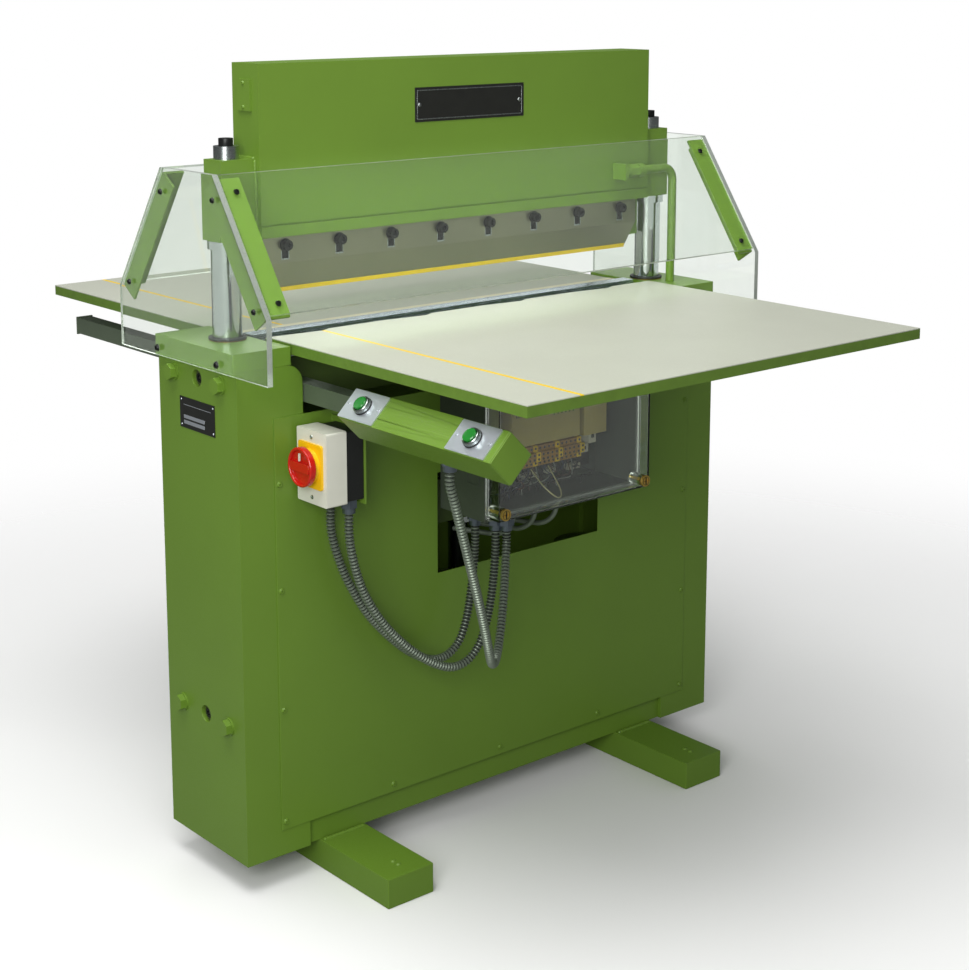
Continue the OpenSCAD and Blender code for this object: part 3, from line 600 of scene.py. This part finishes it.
class CUTTER_OT_conduits(bpy.types.Operator):
    """The three hanging conduits, strip-wound so that they show ridges"""
    bl_idname = "cutter.conduits"
    bl_label = "Conduits"

    def execute(self, context):
        for name, points in (("switch", SWITCH_ROUTE), ("supply", SUPPLY_ROUTE), ("console", CONSOLE_ROUTE)):
            self.add_conduit(name, points)
        return {"FINISHED"}

    def add_conduit(self, name, points):
        props = finishes()
        route = smooth_route(points, props.conduit_pitch / RINGS_PER_RIDGE)
        outer = props.conduit_radius
        bm = bmesh.new()
        radii = [outer - GROOVE_DEPTHS[i % RINGS_PER_RIDGE] for i in range(len(route))]
        tube(bm, route, radii, sides=CONDUIT_SIDES)
        self.darken_grooves(bm)
        piece = add_piece(
            f"hanging_conduit_{name}", bm, ["conduit_steel", "conduit_groove"], "frame",
            replaces=[f"conduit_{name}"])

    def darken_grooves(self, bm):
        """The faces going down into each groove and along its bottom get the painted shade."""
        for i, face in enumerate(bm.faces):
            face.material_index = 1 if (i // CONDUIT_SIDES) % RINGS_PER_RIDGE in (1, 2) else 0


# ---- cabinet


class CUTTER_OT_cabinet(bpy.types.Operator):
    """Feet, end frames, covers and their screws, with the weld beads at the feet"""
    bl_idname = "cutter.cabinet"
    bl_label = "Cabinet"

    def execute(self, context):
        wide = finishes().edge_break
        paint("sprayed_enamel", "left_end_frame", "right_end_frame", "feet", bevel=wide)
        paint("sprayed_enamel", "front_cover", "rear_cover", bevel=0.0006)
        paint("sprayed_enamel", "base_tray", "frame_bolts", "cover_screws")
        self.add_foot_welds()
        self.add_folded_lips()
        self.add_hole_plugs()
        return {"FINISHED"}

    def add_foot_welds(self):
        low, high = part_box("feet")
        end_low, end_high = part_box("left_end_frame")
        width = finishes().weld_width
        foot_w, inset = 0.092, 0.004
        bm = bmesh.new()
        for x in (low.x, high.x - foot_w):
            for y in (end_low.y + 0.002, end_high.y - 0.002):
                weld_bead(bm, (x + inset, y, high.z), (x + foot_w - inset, y, high.z), width)
        add_piece("foot_weld_beads", bm, ["sprayed_enamel"], "frame")

    def add_folded_lips(self):
        """The folded lips inside each end frame: a flat strip and the return along its inner edge."""
        low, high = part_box("left_end_frame")
        inner, outer, thick, depth = 0.4115, 0.4245, 0.002, 0.020
        bottom, top = low.z + 0.06, high.z - 0.036
        bm = bmesh.new()
        for side in (-1, 1):
            for y in (low.y + 0.010, high.y - 0.012):
                for reach, back in ((outer, thick), (inner - thick, depth)):
                    x0, x1 = sorted((side * inner, side * reach))
                    block(bm, (x0, y, bottom), (x1, y + back, top))
        add_piece("frame_lips", bm, ["sprayed_enamel"], "frame")

    def add_hole_plugs(self):
        """Socket screws seen inside the access holes in the end frames."""
        low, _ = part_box("left_end_frame")
        socket_head = ((8.5, 0), (8.5, 6.5), (7.5, 7.5), (4.5, 7.5), (4.5, 3), (0, 3))
        bm = bmesh.new()
        for side in (-1, 1):
            for z in (0.840, 0.277):
                at = (side * (abs(low.x) - 0.012), 0, z)
                small_head(bm, (side, 0, 0), at, socket_head, steps=24)
        add_piece("access_hole_screws", bm, ["black_oxide"], "frame")


# ---- bed


class CUTTER_OT_bed(bpy.types.Operator):
    """Bed blocks and beam, the lower knife, its cream strip and the guide bushes"""
    bl_idname = "cutter.bed"
    bl_label = "Bed"

    def execute(self, context):
        paint("sprayed_enamel", "bed_blocks", bevel=finishes().edge_break)
        # The bed beam sits under the tables: its darker enamel is painted shade
        paint("shaded_enamel", "bed_beam", bevel=0.001)
        paint("polished_edge", "lower_knife", bevel=0.0004)
        paint("cream_nylon", "cutting_strip", bevel=0.0008)
        paint("ground_steel", "guide_blocks", bevel=0.001)
        paint("bearing_bronze", "guide_bushes")
        self.add_knife_clamps()
        return {"FINISHED"}

    def add_knife_clamps(self):
        """A dark clamping bar with countersunk screws between the lower knife and the strip."""
        knife_low, knife_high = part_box("lower_knife")
        strip_low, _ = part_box("cutting_strip")
        top = knife_low.z + 0.020
        count, margin, gap = 10, 0.045, 0.0005
        head = ((5.5, 0), (4.5, 2.2), (2.2, 2.2), (2.2, 0.9), (0, 0.9))
        bm = bmesh.new()
        block(
            bm, (knife_low.x, knife_high.y + gap, knife_low.z + 0.0002),
            (knife_high.x, strip_low.y - gap, top))
        for k in range(count):
            x = knife_low.x + margin + k * (knife_high.x - knife_low.x - 2 * margin) / (count - 1)
            small_head(bm, (0, 0, 1), (x, (knife_high.y + strip_low.y) / 2, top), head, material=1)
        add_piece("knife_clamp_bar", bm, ["black_paint", "black_oxide"], "frame", bevel=0.0005)


# ---- tables


class CUTTER_OT_tables(bpy.types.Operator):
    """Boards, laminate tops, inlaid yellow lines and the arms below"""
    bl_idname = "cutter.tables"
    bl_label = "Tables"

    def execute(self, context):
        paint("board_edge", "table_boards")
        paint("satin_laminate", "table_tops")
        paint("marker_yellow", "marker_strips")
        paint("black_paint", "table_arms", bevel=0.001)
        paint("bar_paint", "rails", bevel=0.001)
        self.add_rail_ends()
        return {"FINISHED"}

    def add_rail_ends(self):
        """A capped end and its screw on the rear end of each rail."""
        low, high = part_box("rails")
        z, half = (low.z + high.z) / 2, 0.0165
        head = ((6, 0), (4.8, 3), (2.4, 3), (2.4, 1), (0, 1))
        bm = bmesh.new()
        for x in (low.x + 0.015, high.x - 0.015):
            block(bm, (x - half, high.y - 0.004, z - half), (x + half, high.y, z + half))
            small_head(bm, (0, 1, 0), (x, high.y, z), head, material=1)
        add_piece("rail_end_caps", bm, ["bar_paint", "black_oxide"], "frame", bevel=0.0006)


# ---- ram


class CUTTER_OT_ram(bpy.types.Operator):
    """Knife beam with its weld beads, end plates, columns, collars and trip rod"""
    bl_idname = "cutter.ram"
    bl_label = "Ram"

    def execute(self, context):
        paint("sprayed_enamel", "ram_beam", bevel=finishes().edge_break)
        paint("sprayed_enamel", "beam_end_plates", "trip_rod")
        paint("hard_chrome", "columns")
        paint("bright_zinc", "column_collars")
        self.add_welds()
        self.add_wipers()
        return {"FINISHED"}

    def add_welds(self):
        """Beads where the column blocks meet the beam, and short ones along its lower edge."""
        width = finishes().weld_width * 0.85
        joint_x, low, top = 0.432, 1.056, 1.184
        half_depth, tack_pitch, half_tack = 0.025, 0.144, 0.03
        bm = bmesh.new()
        for side in (-1, 1):
            x = side * (joint_x + 0.0008)
            for y in (-half_depth, half_depth):
                weld_bead(bm, (x, y, low + 0.004), (x, y, top - 0.002), width)
            weld_bead(bm, (x, -0.024, top), (x, 0.024, top), width)
        for y in (-0.009, half_depth):
            for k in range(6):
                x, z = (k - 2.5) * tack_pitch, low - 0.0005
                weld_bead(bm, (x - half_tack, y, z), (x + half_tack, y, z), width * 0.8)
        add_piece("beam_weld_beads", bm, ["sprayed_enamel"], "ram")

    def add_wipers(self):
        """Black wiper rings on the bushes round the columns."""
        bush_low, bush_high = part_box("guide_bushes")
        bush_radius = 0.030
        bm = bmesh.new()
        for x in (bush_low.x + bush_radius, bush_high.x - bush_radius):
            turned_ring(bm, 0.0246, 0.0305, 0.004, Matrix.Translation((x, 0, bush_high.z)))
        add_piece("column_wipers", bm, ["rubber_black"], "frame", bevel=0.0008)

# ---- knife


class CUTTER_OT_knife(bpy.types.Operator):
    """Knife with its slots, screws and the coloured strip at its edge"""
    bl_idname = "cutter.knife"
    bl_label = "Knife"

    def execute(self, context):
        paint("ground_steel", "blade", bevel=0.0004)
        paint("marker_yellow", "blade_strip")
        paint("black_oxide", "ram_screws", bevel=0.0004)
        self.add_slot_highlights_and_shade()
        return {"FINISHED"}

    def add_slot_highlights_and_shade(self):
        """Bright strips on the edges of each slot's open end, painted highlights, and a dark block inside,
        painted shade.
        """
        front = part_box("blade")[0].y
        count, pitch = 8, 0.1074
        half, line, slot_shade_half, bottom, top = 0.0079, 0.0014, 0.0064, 1.0165, 1.030
        bm = bmesh.new()
        for k in range(count):
            x = (k - (count - 1) / 2) * pitch
            edges = (
                (x - half, bottom, x - half + line, top), (x + half - line, bottom, x + half, top),
                (x - half, bottom - 0.0012, x + half, bottom + 0.0012))
            # Bright strips: painted highlights on the slot's edges
            for x0, z0, x1, z1 in edges:
                block(bm, (x0, front - 0.0003, z0), (x1, front + 0.0020, z1))
            # Dark block in the slot: painted shade
            block(
                bm, (x - slot_shade_half, front + 0.0022, bottom + 0.0004), (x + slot_shade_half, front + 0.0060, top + 0.004),
                material=1)
        add_piece("knife_slot_highlights_and_shade", bm, ["bright_zinc", "black_oxide"], "ram")


# ---- guard


# The guard's outline, seen from the end: height of its knees and half width of its open top
KNEE, SHOULDER = 0.964, 0.077


class CUTTER_OT_guard(bpy.types.Operator):
    """Clear guard with scraped edges, green angle bars and black screws"""
    bl_idname = "cutter.guard"
    bl_label = "Guard"

    def execute(self, context):
        self.add_side_plates()
        self.add_sheets()
        paint("sprayed_enamel", "guard_bars", bevel=0.0008)
        paint("black_oxide", "guard_screws")
        return {"FINISHED"}

    def add_side_plates(self):
        low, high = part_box("guard_side_plates")
        outline = [
            (low.y, low.z), (high.y, low.z), (high.y, KNEE),
            (SHOULDER, high.z), (-SHOULDER, high.z), (low.y, KNEE)]
        thick = 0.0096
        bm = bmesh.new()
        for x0 in (low.x, high.x - thick):
            sweep(bm, [[Vector((x, y, z)) for y, z in outline] for x in (x0, x0 + thick)])
        self.add_clear("clear_side_plates", bm, "guard_side_plates", lambda n: abs(n.x) > 0.5)

    def add_sheets(self):
        low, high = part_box("guard_sheets")
        _, plates_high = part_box("guard_side_plates")
        thick, short = 0.005, 0.008
        top = Vector((0, SHOULDER, plates_high.z))
        knee = Vector((0, plates_high.y, KNEE))
        down = (knee - top).normalized()
        inward = Vector((0, down.z, -down.y))
        bottom = knee - down * short
        bm = bmesh.new()
        for flip in (1, -1):
            corners = [top, bottom, bottom + inward * thick, top + inward * thick]
            sweep(bm, [[Vector((x, flip * c.y, c.z)) for c in corners] for x in (low.x, high.x)])
        self.add_clear(
            "clear_sloping_sheets", bm, "guard_sheets",
            lambda n: abs(n.x) < 0.5 and abs(abs(n.z) - abs(down.y)) < 0.05)

    def add_clear(self, name, bm, node, is_face):
        """A piece that is clear on its faces and sawn on its edges."""
        bm.normal_update()
        for face in bm.faces:
            face.material_index = 0 if is_face(face.normal) else 1
        piece = add_piece(name, bm, [clear_acrylic(), sawn_acrylic()], "frame", replaces=[node])


# ---- main switch


class CUTTER_OT_main_switch(bpy.types.Operator):
    """Rotary main switch: cover, base, yellow collar and dished red handle"""
    bl_idname = "cutter.main_switch"
    bl_label = "Main switch"

    def execute(self, context):
        paint("moulded_grey", "switch_cover", bevel=0.0015)
        paint("moulded_dark", "switch_base", bevel=0.001)
        paint("moulded_yellow", "switch_plate", bevel=0.0008)
        self.add_cover_screws()
        self.add_handle()
        paint("nickel_plate", "conduit_glands", bevel=0.0005)
        return {"FINISHED"}

    def add_cover_screws(self):
        low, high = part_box("switch_cover")
        head = ((3.6, 0), (3.0, 1.2), (1.6, 1.2), (1.2, 0.3), (0, 0.3))
        bm = bmesh.new()
        for z in (low.z + 0.011, high.z - 0.011):
            small_head(bm, (-1, 0, 0), (low.x, (low.y + high.y) / 2, z), head)
        add_piece("switch_cover_screws", bm, ["bright_zinc"], "frame")

    def add_handle(self):
        """Dished knob with a bar grip across it, and a pale pointer at the end of the grip."""
        low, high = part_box("switch_handle")
        y, z = (low.y + high.y) / 2, (low.z + high.z) / 2
        radius = (high.y - low.y) / 2
        face = low.x
        place = facing((-1, 0, 0), (face + 0.0125, y, z))
        profile = [
            (0.0055, -0.022), (0.0055, 0.0), (radius - 0.002, 0.0), (radius, 0.002), (radius, 0.0105),
            (radius - 0.0015, 0.0122), (radius - 0.0040, 0.0122), (radius - 0.0052, 0.0108),
            (radius - 0.0062, 0.0068), (radius * 0.45, 0.0058), (0.0, 0.0058)]
        bm = bmesh.new()
        turned(bm, profile, place, steps=64)
        grip = [
            (-0.0255, -0.0045), (-0.0235, -0.0075), (0.0235, -0.0075), (0.0255, -0.0045),
            (0.0255, 0.0045), (0.0235, 0.0075), (-0.0235, 0.0075), (-0.0255, 0.0045)]
        sweep(bm, [[place @ Vector((a, b, level)) for a, b in grip] for level in (0.0050, 0.0118)])
        piece = add_piece(
            "dished_switch_handle", bm, ["moulded_red"], "handle", bevel=0.0008, replaces=["switch_handle"])
        mark = bmesh.new()
        block(mark, (face + 0.0004, y - 0.0012, z + 0.0105), (face + 0.0030, y + 0.0012, z + 0.0225))
        add_piece("handle_pointer", mark, ["moulded_grey"], "handle")


# ---- console


class CUTTER_OT_console(bpy.types.Operator):
    """Two-hand console with its plates, bezels and green buttons"""
    bl_idname = "cutter.console"
    bl_label = "Console"

    def execute(self, context):
        paint("sprayed_enamel", "console_body", bevel=0.0015)
        paint("anodised_plate", "button_plates", bevel=0.0005)
        for name in ("front_button", "rear_button"):
            self.add_button(name)
        self.add_bezels()
        self.add_end_caps()
        return {"FINISHED"}

    def centre_on_face(self, node):
        """Centre of a button's end face and the direction out of the console."""
        low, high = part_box(node)
        out = Vector((-1, 0, 1)).normalized()
        button_radius = 0.0115
        half_length = ((high.x - low.x) * math.sqrt(2) - 2 * button_radius) / 2
        return (low + high) / 2 + out * half_length, out

    def add_button(self, node):
        face, out = self.centre_on_face(node)
        profile = [
            (0.0100, -0.020), (0.0112, -0.018), (0.0112, -0.0012),
            (0.0104, -0.0004), (0.0070, 0.0001), (0.0, -0.0004)]
        bm = bmesh.new()
        turned(bm, profile, facing(out, face))
        body = f"button_{node.split('_')[0]}"
        piece = add_piece(f"domed_{node}", bm, ["lens_green"], body, replaces=[node])

    def add_bezels(self):
        """Chromed bezels with a rounded rim and a dark seal under each."""
        rim = [
            (0.0148, 0.0012), (0.0148, 0.0062), (0.0140, 0.0080),
            (0.0128, 0.0088), (0.0119, 0.0084), (0.0119, 0.0)]
        steps = 48
        bm = bmesh.new()
        for node in ("front_button", "rear_button"):
            face, out = self.centre_on_face(node)
            place = facing(out, face - out * 0.012)
            sweep(bm, [circle(place, radius, height, steps) for radius, height in rim], closed_ends=False)
            turned_ring(bm, 0.0121, 0.0156, 0.0014, place, steps=steps, material=1)
        piece = add_piece(
            "button_bezels", bm, ["bright_zinc", "rubber_black"], "frame", replaces=["button_collars"])

    def add_end_caps(self):
        """Pressed cap on the front end of the console."""
        low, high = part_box("console_body")
        middle = (low + high) / 2
        half = (high.x - low.x) / 2 - 0.001
        ring = [(half, 0), (0, half), (-half, 0), (0, -half)]
        bm = bmesh.new()
        sweep(bm, [
            [Vector((middle.x + x, y, middle.z + z)) for x, z in ring] for y in (low.y - 0.0025, low.y)])
        add_piece("console_end_cap", bm, ["sprayed_enamel"], "frame", bevel=0.0008)


# ---- control box


class CUTTER_OT_control_box(bpy.types.Operator):
    """Control box body, clear lid and brass lid screws"""
    bl_idname = "cutter.control_box"
    bl_label = "Control box"

    def execute(self, context):
        paint("box_grey", "box_body", bevel=0.0012)
        paint(clear_acrylic(), "box_lid", bevel=0.0008)
        paint("turned_brass", "lid_screws", bevel=0.0004)
        paint("plated_tray", "mounting_plate", bevel=0.0004)
        self.add_lid_rim()
        self.add_knock_outs()
        self.add_screw_pillars()
        return {"FINISHED"}

    def add_lid_rim(self):
        """Moulded rim round the foot of the lid, with its bright edge."""
        low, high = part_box("box_lid")
        wide, front, back = 0.004, high.y - 0.004, high.y - 0.0004
        bm = bmesh.new()
        for x0, z0, x1, z1 in edge_bars(low.x - wide, low.z - wide, high.x + wide, high.z + wide, wide):
            block(bm, (x0, front, z0), (x1, back, z1))
        add_piece("lid_rim", bm, [clear_acrylic()], "frame", bevel=0.0008)

    def add_knock_outs(self):
        """Square knock-out marks moulded into the box's left side."""
        low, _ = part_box("box_body")
        half, line = 0.016, 0.0025
        bm = bmesh.new()
        for y, z in ((-0.205, low.z + 0.075), (-0.160, low.z + 0.105)):
            for y0, z0, y1, z1 in edge_bars(y - half, z - half, y + half, z + half, line):
                block(bm, (low.x - 0.0009, y0, z0), (low.x + 0.0004, y1, z1))
        add_piece("box_knock_outs", bm, ["box_grey"], "frame", bevel=0.0003)

    def add_screw_pillars(self):
        """Clear pillars behind the lid screws, and on each head a slot and a ring drawn as black marks,
        painted shade of the cuts.
        """
        low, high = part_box("lid_screws")
        head_radius, foot_y, sunk = 0.010, -0.2345, low.y + 0.0006
        shank = [(0.0, 0.0), (0.0032, 0.0), (0.0032, 0.026), (0.0, 0.026)]
        bm = bmesh.new()
        for x in (low.x + head_radius, high.x - head_radius):
            for z in (low.z + head_radius, high.z - head_radius):
                foot = facing((0, -1, 0), (x, foot_y, z))
                turned_ring(bm, 0.0045, 0.0105, 0.0262, foot, steps=28)
                turned(bm, shank, foot, steps=16, material=1)
                # Black slot and ring: painted shade of the cuts in the head
                block(
                    bm, (x - 0.0012, low.y - 0.0003, z - 0.0065), (x + 0.0012, sunk, z + 0.0065),
                    material=2)
                ring = facing((0, -1, 0), (x, sunk, z))
                turned_ring(bm, 0.0070, 0.0078, 0.0009, ring, steps=28, material=2)
        add_piece("lid_screw_pillars", bm, [clear_acrylic(), "turned_brass", "black_oxide"], "frame")


class CUTTER_OT_box_contents(bpy.types.Operator):
    """Controller, terminals, relays, wiring and the leads into the cabinet"""
    bl_idname = "cutter.box_contents"
    bl_label = "Box contents"

    def execute(self, context):
        self.add_controller()
        self.add_terminals()
        self.add_relays()
        self.add_wiring()
        paint("conduit_steel", "machine_leads")
        return {"FINISHED"}

    def add_controller(self):
        """Beige controller with dark bars painted as the shade in its cooling grille, and the tall relay
        socket beside it.
        """
        low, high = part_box("controller")
        bm = bmesh.new()
        block(bm, (low.x, low.y, low.z + 0.004), (low.x + 0.158, high.y, high.z - 0.004))
        block(bm, (low.x + 0.170, low.y + 0.002, low.z), (high.x, high.y, high.z))
        # Dark bars: painted shade inside the grille's slots
        for k in range(12):
            x = low.x + 0.010 + k * 0.0048
            block(
                bm, (x, low.y - 0.0004, high.z - 0.026), (x + 0.0022, low.y + 0.002, high.z - 0.010),
                material=1)
        lamp = 0.0035
        for k in range(6):
            x, z = low.x + 0.095 + k * 0.009, low.z + 0.050
            block(bm, (x, low.y - 0.0006, z), (x + lamp, low.y + 0.001, z + lamp), material=2)
        piece = add_piece(
            "beige_controller", bm, ["controller_beige", "moulded_dark", "lens_green"], "frame",
            bevel=0.001, replaces=["controller"])

    def add_terminals(self):
        """Stepped terminal blocks, with dark discs painted as the shade in their screw holes."""
        low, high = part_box("terminals")
        count = finishes().terminal_count
        pitch = (high.x - low.x) / count
        step_y = low.y + 0.009
        hole = ((2.3, 0), (2.3, 0.4), (0, 0.4))
        bm = bmesh.new()
        for k in range(count):
            x = low.x + k * pitch
            tone = 1 if k % 5 == 4 else 0
            for front, rim in ((low.y, 0.012), (step_y, 0.002)):
                block(bm, (x, front, low.z + rim), (x + pitch - 0.0008, high.y, high.z - rim), material=tone)
            # Dark discs: painted shade in the screw holes
            for z, y in (
                    (low.z + 0.016, low.y), (low.z + 0.024, low.y),
                    (low.z + 0.007, step_y), (high.z - 0.007, step_y)):
                small_head(bm, (0, -1, 0), (x + pitch / 2, y, z), hole, steps=12, material=2)
        piece = add_piece(
            "stepped_terminals", bm, ["terminal_ochre", "marker_yellow", "moulded_dark"], "frame",
            replaces=["terminals"])

    def add_relays(self):
        """Off-white relay bases, a breaker and cable clips on the mounting plate."""
        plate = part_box("mounting_plate")[0].y
        gap = 0.0005
        bm = bmesh.new()
        for x, z, wide, tall, deep in (
                (0.148, 0.634, 0.020, 0.016, 0.030), (0.160, 0.652, 0.017, 0.030, 0.040),
                (0.148, 0.684, 0.020, 0.014, 0.030), (0.136, 0.601, 0.030, 0.010, 0.012),
                (0.086, 0.603, 0.022, 0.008, 0.010), (0.030, 0.602, 0.034, 0.008, 0.010)):
            front = plate - deep
            block(bm, (x, front, z), (x + wide, plate - gap, z + tall))
            block(
                bm, (x + wide * 0.3, front - 0.0008, z + tall * 0.3),
                (x + wide * 0.7, front + 0.001, z + tall * 0.7), material=1)
        block(bm, (-0.100, plate - 0.045, 0.690), (-0.050, plate - gap, 0.770), material=1)
        block(bm, (-0.094, plate - 0.052, 0.705), (-0.056, plate - 0.045, 0.755))
        add_piece("relays_and_clips", bm, ["relay_white", "moulded_dark"], "frame", bevel=0.0006)

    def add_wiring(self):
        """Single-core wires from the terminals down to the box's floor."""
        low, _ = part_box("terminals")
        chance = random.Random(7)
        box_floor, wire_radius, step = 0.5835, 0.0011, 0.004
        bm = bmesh.new()
        for k in range(26):
            x = low.x - 0.030 + k * 0.0068 + chance.uniform(-0.001, 0.001)
            drop = chance.uniform(0.018, 0.034)
            sway = chance.uniform(-0.016, 0.016)
            start = Vector((x, low.y + 0.006, low.z + 0.003))
            end = Vector((x + sway * 2 - 0.012, chance.uniform(-0.175, -0.140), box_floor))
            middle = (start + end) / 2 + Vector((sway, -drop * 0.8, 0))
            points = [start, start - Vector((0, 0.003, 0.010)), middle, end + Vector((0, 0, 0.012)), end]
            route = smooth_route(points, step)
            tube(bm, route, [wire_radius] * len(route), sides=6, material=(0, 0, 1, 0, 2, 3)[k % 6])
        for k in range(8):
            x = -0.085 + k * 0.006
            start = Vector((x, -0.166 - 0.002 * (k % 3), 0.690))
            end = Vector((x + chance.uniform(0.02, 0.05), -0.150, box_floor))
            middle = Vector((x - chance.uniform(0.0, 0.012), -0.195, 0.640))
            route = smooth_route([start, middle, end + Vector((-0.01, -0.02, 0.02)), end], step)
            tube(bm, route, [wire_radius] * len(route), sides=6, material=(0, 3, 0, 1)[k % 4])
        loop = smooth_route([
            (0.018, -0.176, 0.6300), (0.012, -0.215, 0.6100), (0.030, -0.232, 0.5900),
            (0.052, -0.215, 0.5960), (0.058, -0.176, 0.6300)], step)
        tube(bm, loop, [0.0012] * len(loop), sides=6, material=4)
        # PVC insulation: a soft shine, even in colour
        coats = [
            finish(f"PVC wire, {name}", code, darker(code, 0.85), 8, (0.35, 0.5), 0.8, 0.01)
            for name, code in (
                ("black", "#1c1e1c"), ("dark blue", "#23324f"), ("brown", "#54351f"),
                ("grey", "#8a8f86"), ("pale", "#c4c08d"))]
        add_piece("box_wiring", bm, coats, "frame")


# ---- plates


class CUTTER_OT_plates(bpy.types.Operator):
    """Plain plates: one on the beam and one on the left end frame"""
    bl_idname = "cutter.plates"
    bl_label = "Plates"

    def execute(self, context):
        self.add_beam_plate()
        self.add_frame_plate()
        return {"FINISHED"}

    def add_beam_plate(self):
        """Black plate with a raised bright border and two rivets."""
        low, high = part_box("maker_plate")
        front = high.y - 0.001
        inset, line, raised = 0.004, 0.0018, 0.0004
        x0, z0, x1, z1 = low.x + inset, low.z + inset, high.x - inset, high.z - inset
        bm = bmesh.new()
        block(bm, (low.x, front, low.z), (high.x, high.y, high.z))
        for a, b, c, d in (
                (x0, z0, x1, z0 + line), (x0, z1 - line, x1, z1),
                (x0, z0, x0 + line, z1), (x1 - line, z0, x1, z1)):
            block(bm, (a, front - raised, b), (c, front, d), material=1)
        rivet = ((3.5, 0), (2.8, 0.8), (0, 1))
        for x in (-0.111, 0.111):
            small_head(bm, (0, -1, 0), (x, front, (low.z + high.z) / 2), rivet, material=1)
        piece = add_piece(
            "plain_beam_plate", bm, ["etched_black", "bright_zinc"], "ram", bevel=0.0003,
            replaces=["maker_plate"])

    def add_frame_plate(self):
        """Black plate with two plain bright fields, a thin line and corner rivets."""
        low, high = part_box("rating_plate")
        face = low.x
        raised, margin, corner = 0.0003, 0.012, 0.005
        rivet = ((1.8, 0), (1.4, 0.6), (0, 0.8))
        bm = bmesh.new()
        block(bm, low, high)
        for k in range(2):
            z = low.z + 0.007 + k * 0.009
            block(bm, (face - raised, low.y + 0.030, z), (face, high.y - margin, z + 0.006), material=1)
        block(
            bm, (face - raised, low.y + margin, high.z - 0.013), (face, high.y - margin, high.z - 0.012),
            material=1)
        for y in (low.y + corner, high.y - corner):
            for z in (low.z + corner, high.z - corner):
                small_head(bm, (-1, 0, 0), (face, y, z), rivet, steps=16, material=1)
        piece = add_piece(
            "plain_frame_plate", bm, ["etched_black", "anodised_plate"], "frame", bevel=0.0003,
            replaces=["rating_plate"])


# ---- drive


class CUTTER_OT_drive(bpy.types.Operator):
    """Crosshead, cylinder, tank, motor, pipe and limit switches inside the cabinet"""
    bl_idname = "cutter.drive"
    bl_label = "Drive"

    def execute(self, context):
        # Parts inside the cabinet: their darker enamel is painted shade
        paint("shaded_enamel", "crosshead", "oil_tank", "pump_motor", bevel=0.001)
        paint("ground_steel", "drive_cylinder", "oil_pipe")
        paint("hard_chrome", "piston_rod")
        paint("moulded_dark", "limit_switches", bevel=0.0006)
        self.add_motor_fins()
        return {"FINISHED"}

    def add_motor_fins(self):
        """Cooling fins down the motor."""
        low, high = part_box("pump_motor")
        centre = (low + high) / 2
        count = 28
        corners = [(0.0590, -0.0012), (0.0665, -0.0008), (0.0665, 0.0008), (0.0590, 0.0012)]
        levels = (low.z + 0.026, high.z - 0.036)
        bm = bmesh.new()
        for k in range(count):
            turn = Matrix.Translation((centre.x, centre.y, 0)) @ Matrix.Rotation(math.tau * k / count, 4, "Z")
            sweep(bm, [[turn @ Vector((x, y, z)) for x, y in corners] for z in levels])
        add_piece("motor_fins", bm, ["shaded_enamel"], "frame")


# ---- panel

STEPS = (
    "stage", "conduits", "cabinet", "bed", "tables", "ram", "knife", "guard", "main_switch", "console",
    "control_box", "box_contents", "plates", "drive")


class CUTTER_PT_panel(bpy.types.Panel):
    """Lists the steps and the main values"""
    bl_idname = "CUTTER_PT_panel"
    bl_label = "Sheet cutter"
    bl_space_type = "VIEW_3D"
    bl_region_type = "UI"
    bl_category = "Cutter"

    def draw(self, context):
        layout = self.layout
        for props in (context.scene.cutter_stage, context.scene.cutter_finish):
            for name in props.__annotations__:
                layout.prop(props, name)
        for step in STEPS:
            layout.operator(f"cutter.{step}")


CLASSES = (
    CutterStageProps,
    CutterFinishProps,
    CUTTER_OT_stage,
    CUTTER_OT_conduits,
    CUTTER_OT_cabinet,
    CUTTER_OT_bed,
    CUTTER_OT_tables,
    CUTTER_OT_ram,
    CUTTER_OT_knife,
    CUTTER_OT_guard,
    CUTTER_OT_main_switch,
    CUTTER_OT_console,
    CUTTER_OT_control_box,
    CUTTER_OT_box_contents,
    CUTTER_OT_plates,
    CUTTER_OT_drive,
    CUTTER_PT_panel,
)


def register():
    for cls in CLASSES:
        bpy.utils.register_class(cls)
    bpy.types.Scene.cutter_stage = PointerProperty(type=CutterStageProps)
    bpy.types.Scene.cutter_finish = PointerProperty(type=CutterFinishProps)


def unregister():
    del bpy.types.Scene.cutter_finish
    del bpy.types.Scene.cutter_stage
    for cls in reversed(CLASSES):
        bpy.utils.unregister_class(cls)


def main():
    register()
    for step in STEPS:
        getattr(bpy.ops.cutter, step)()


if __name__ == "__main__":
    main()
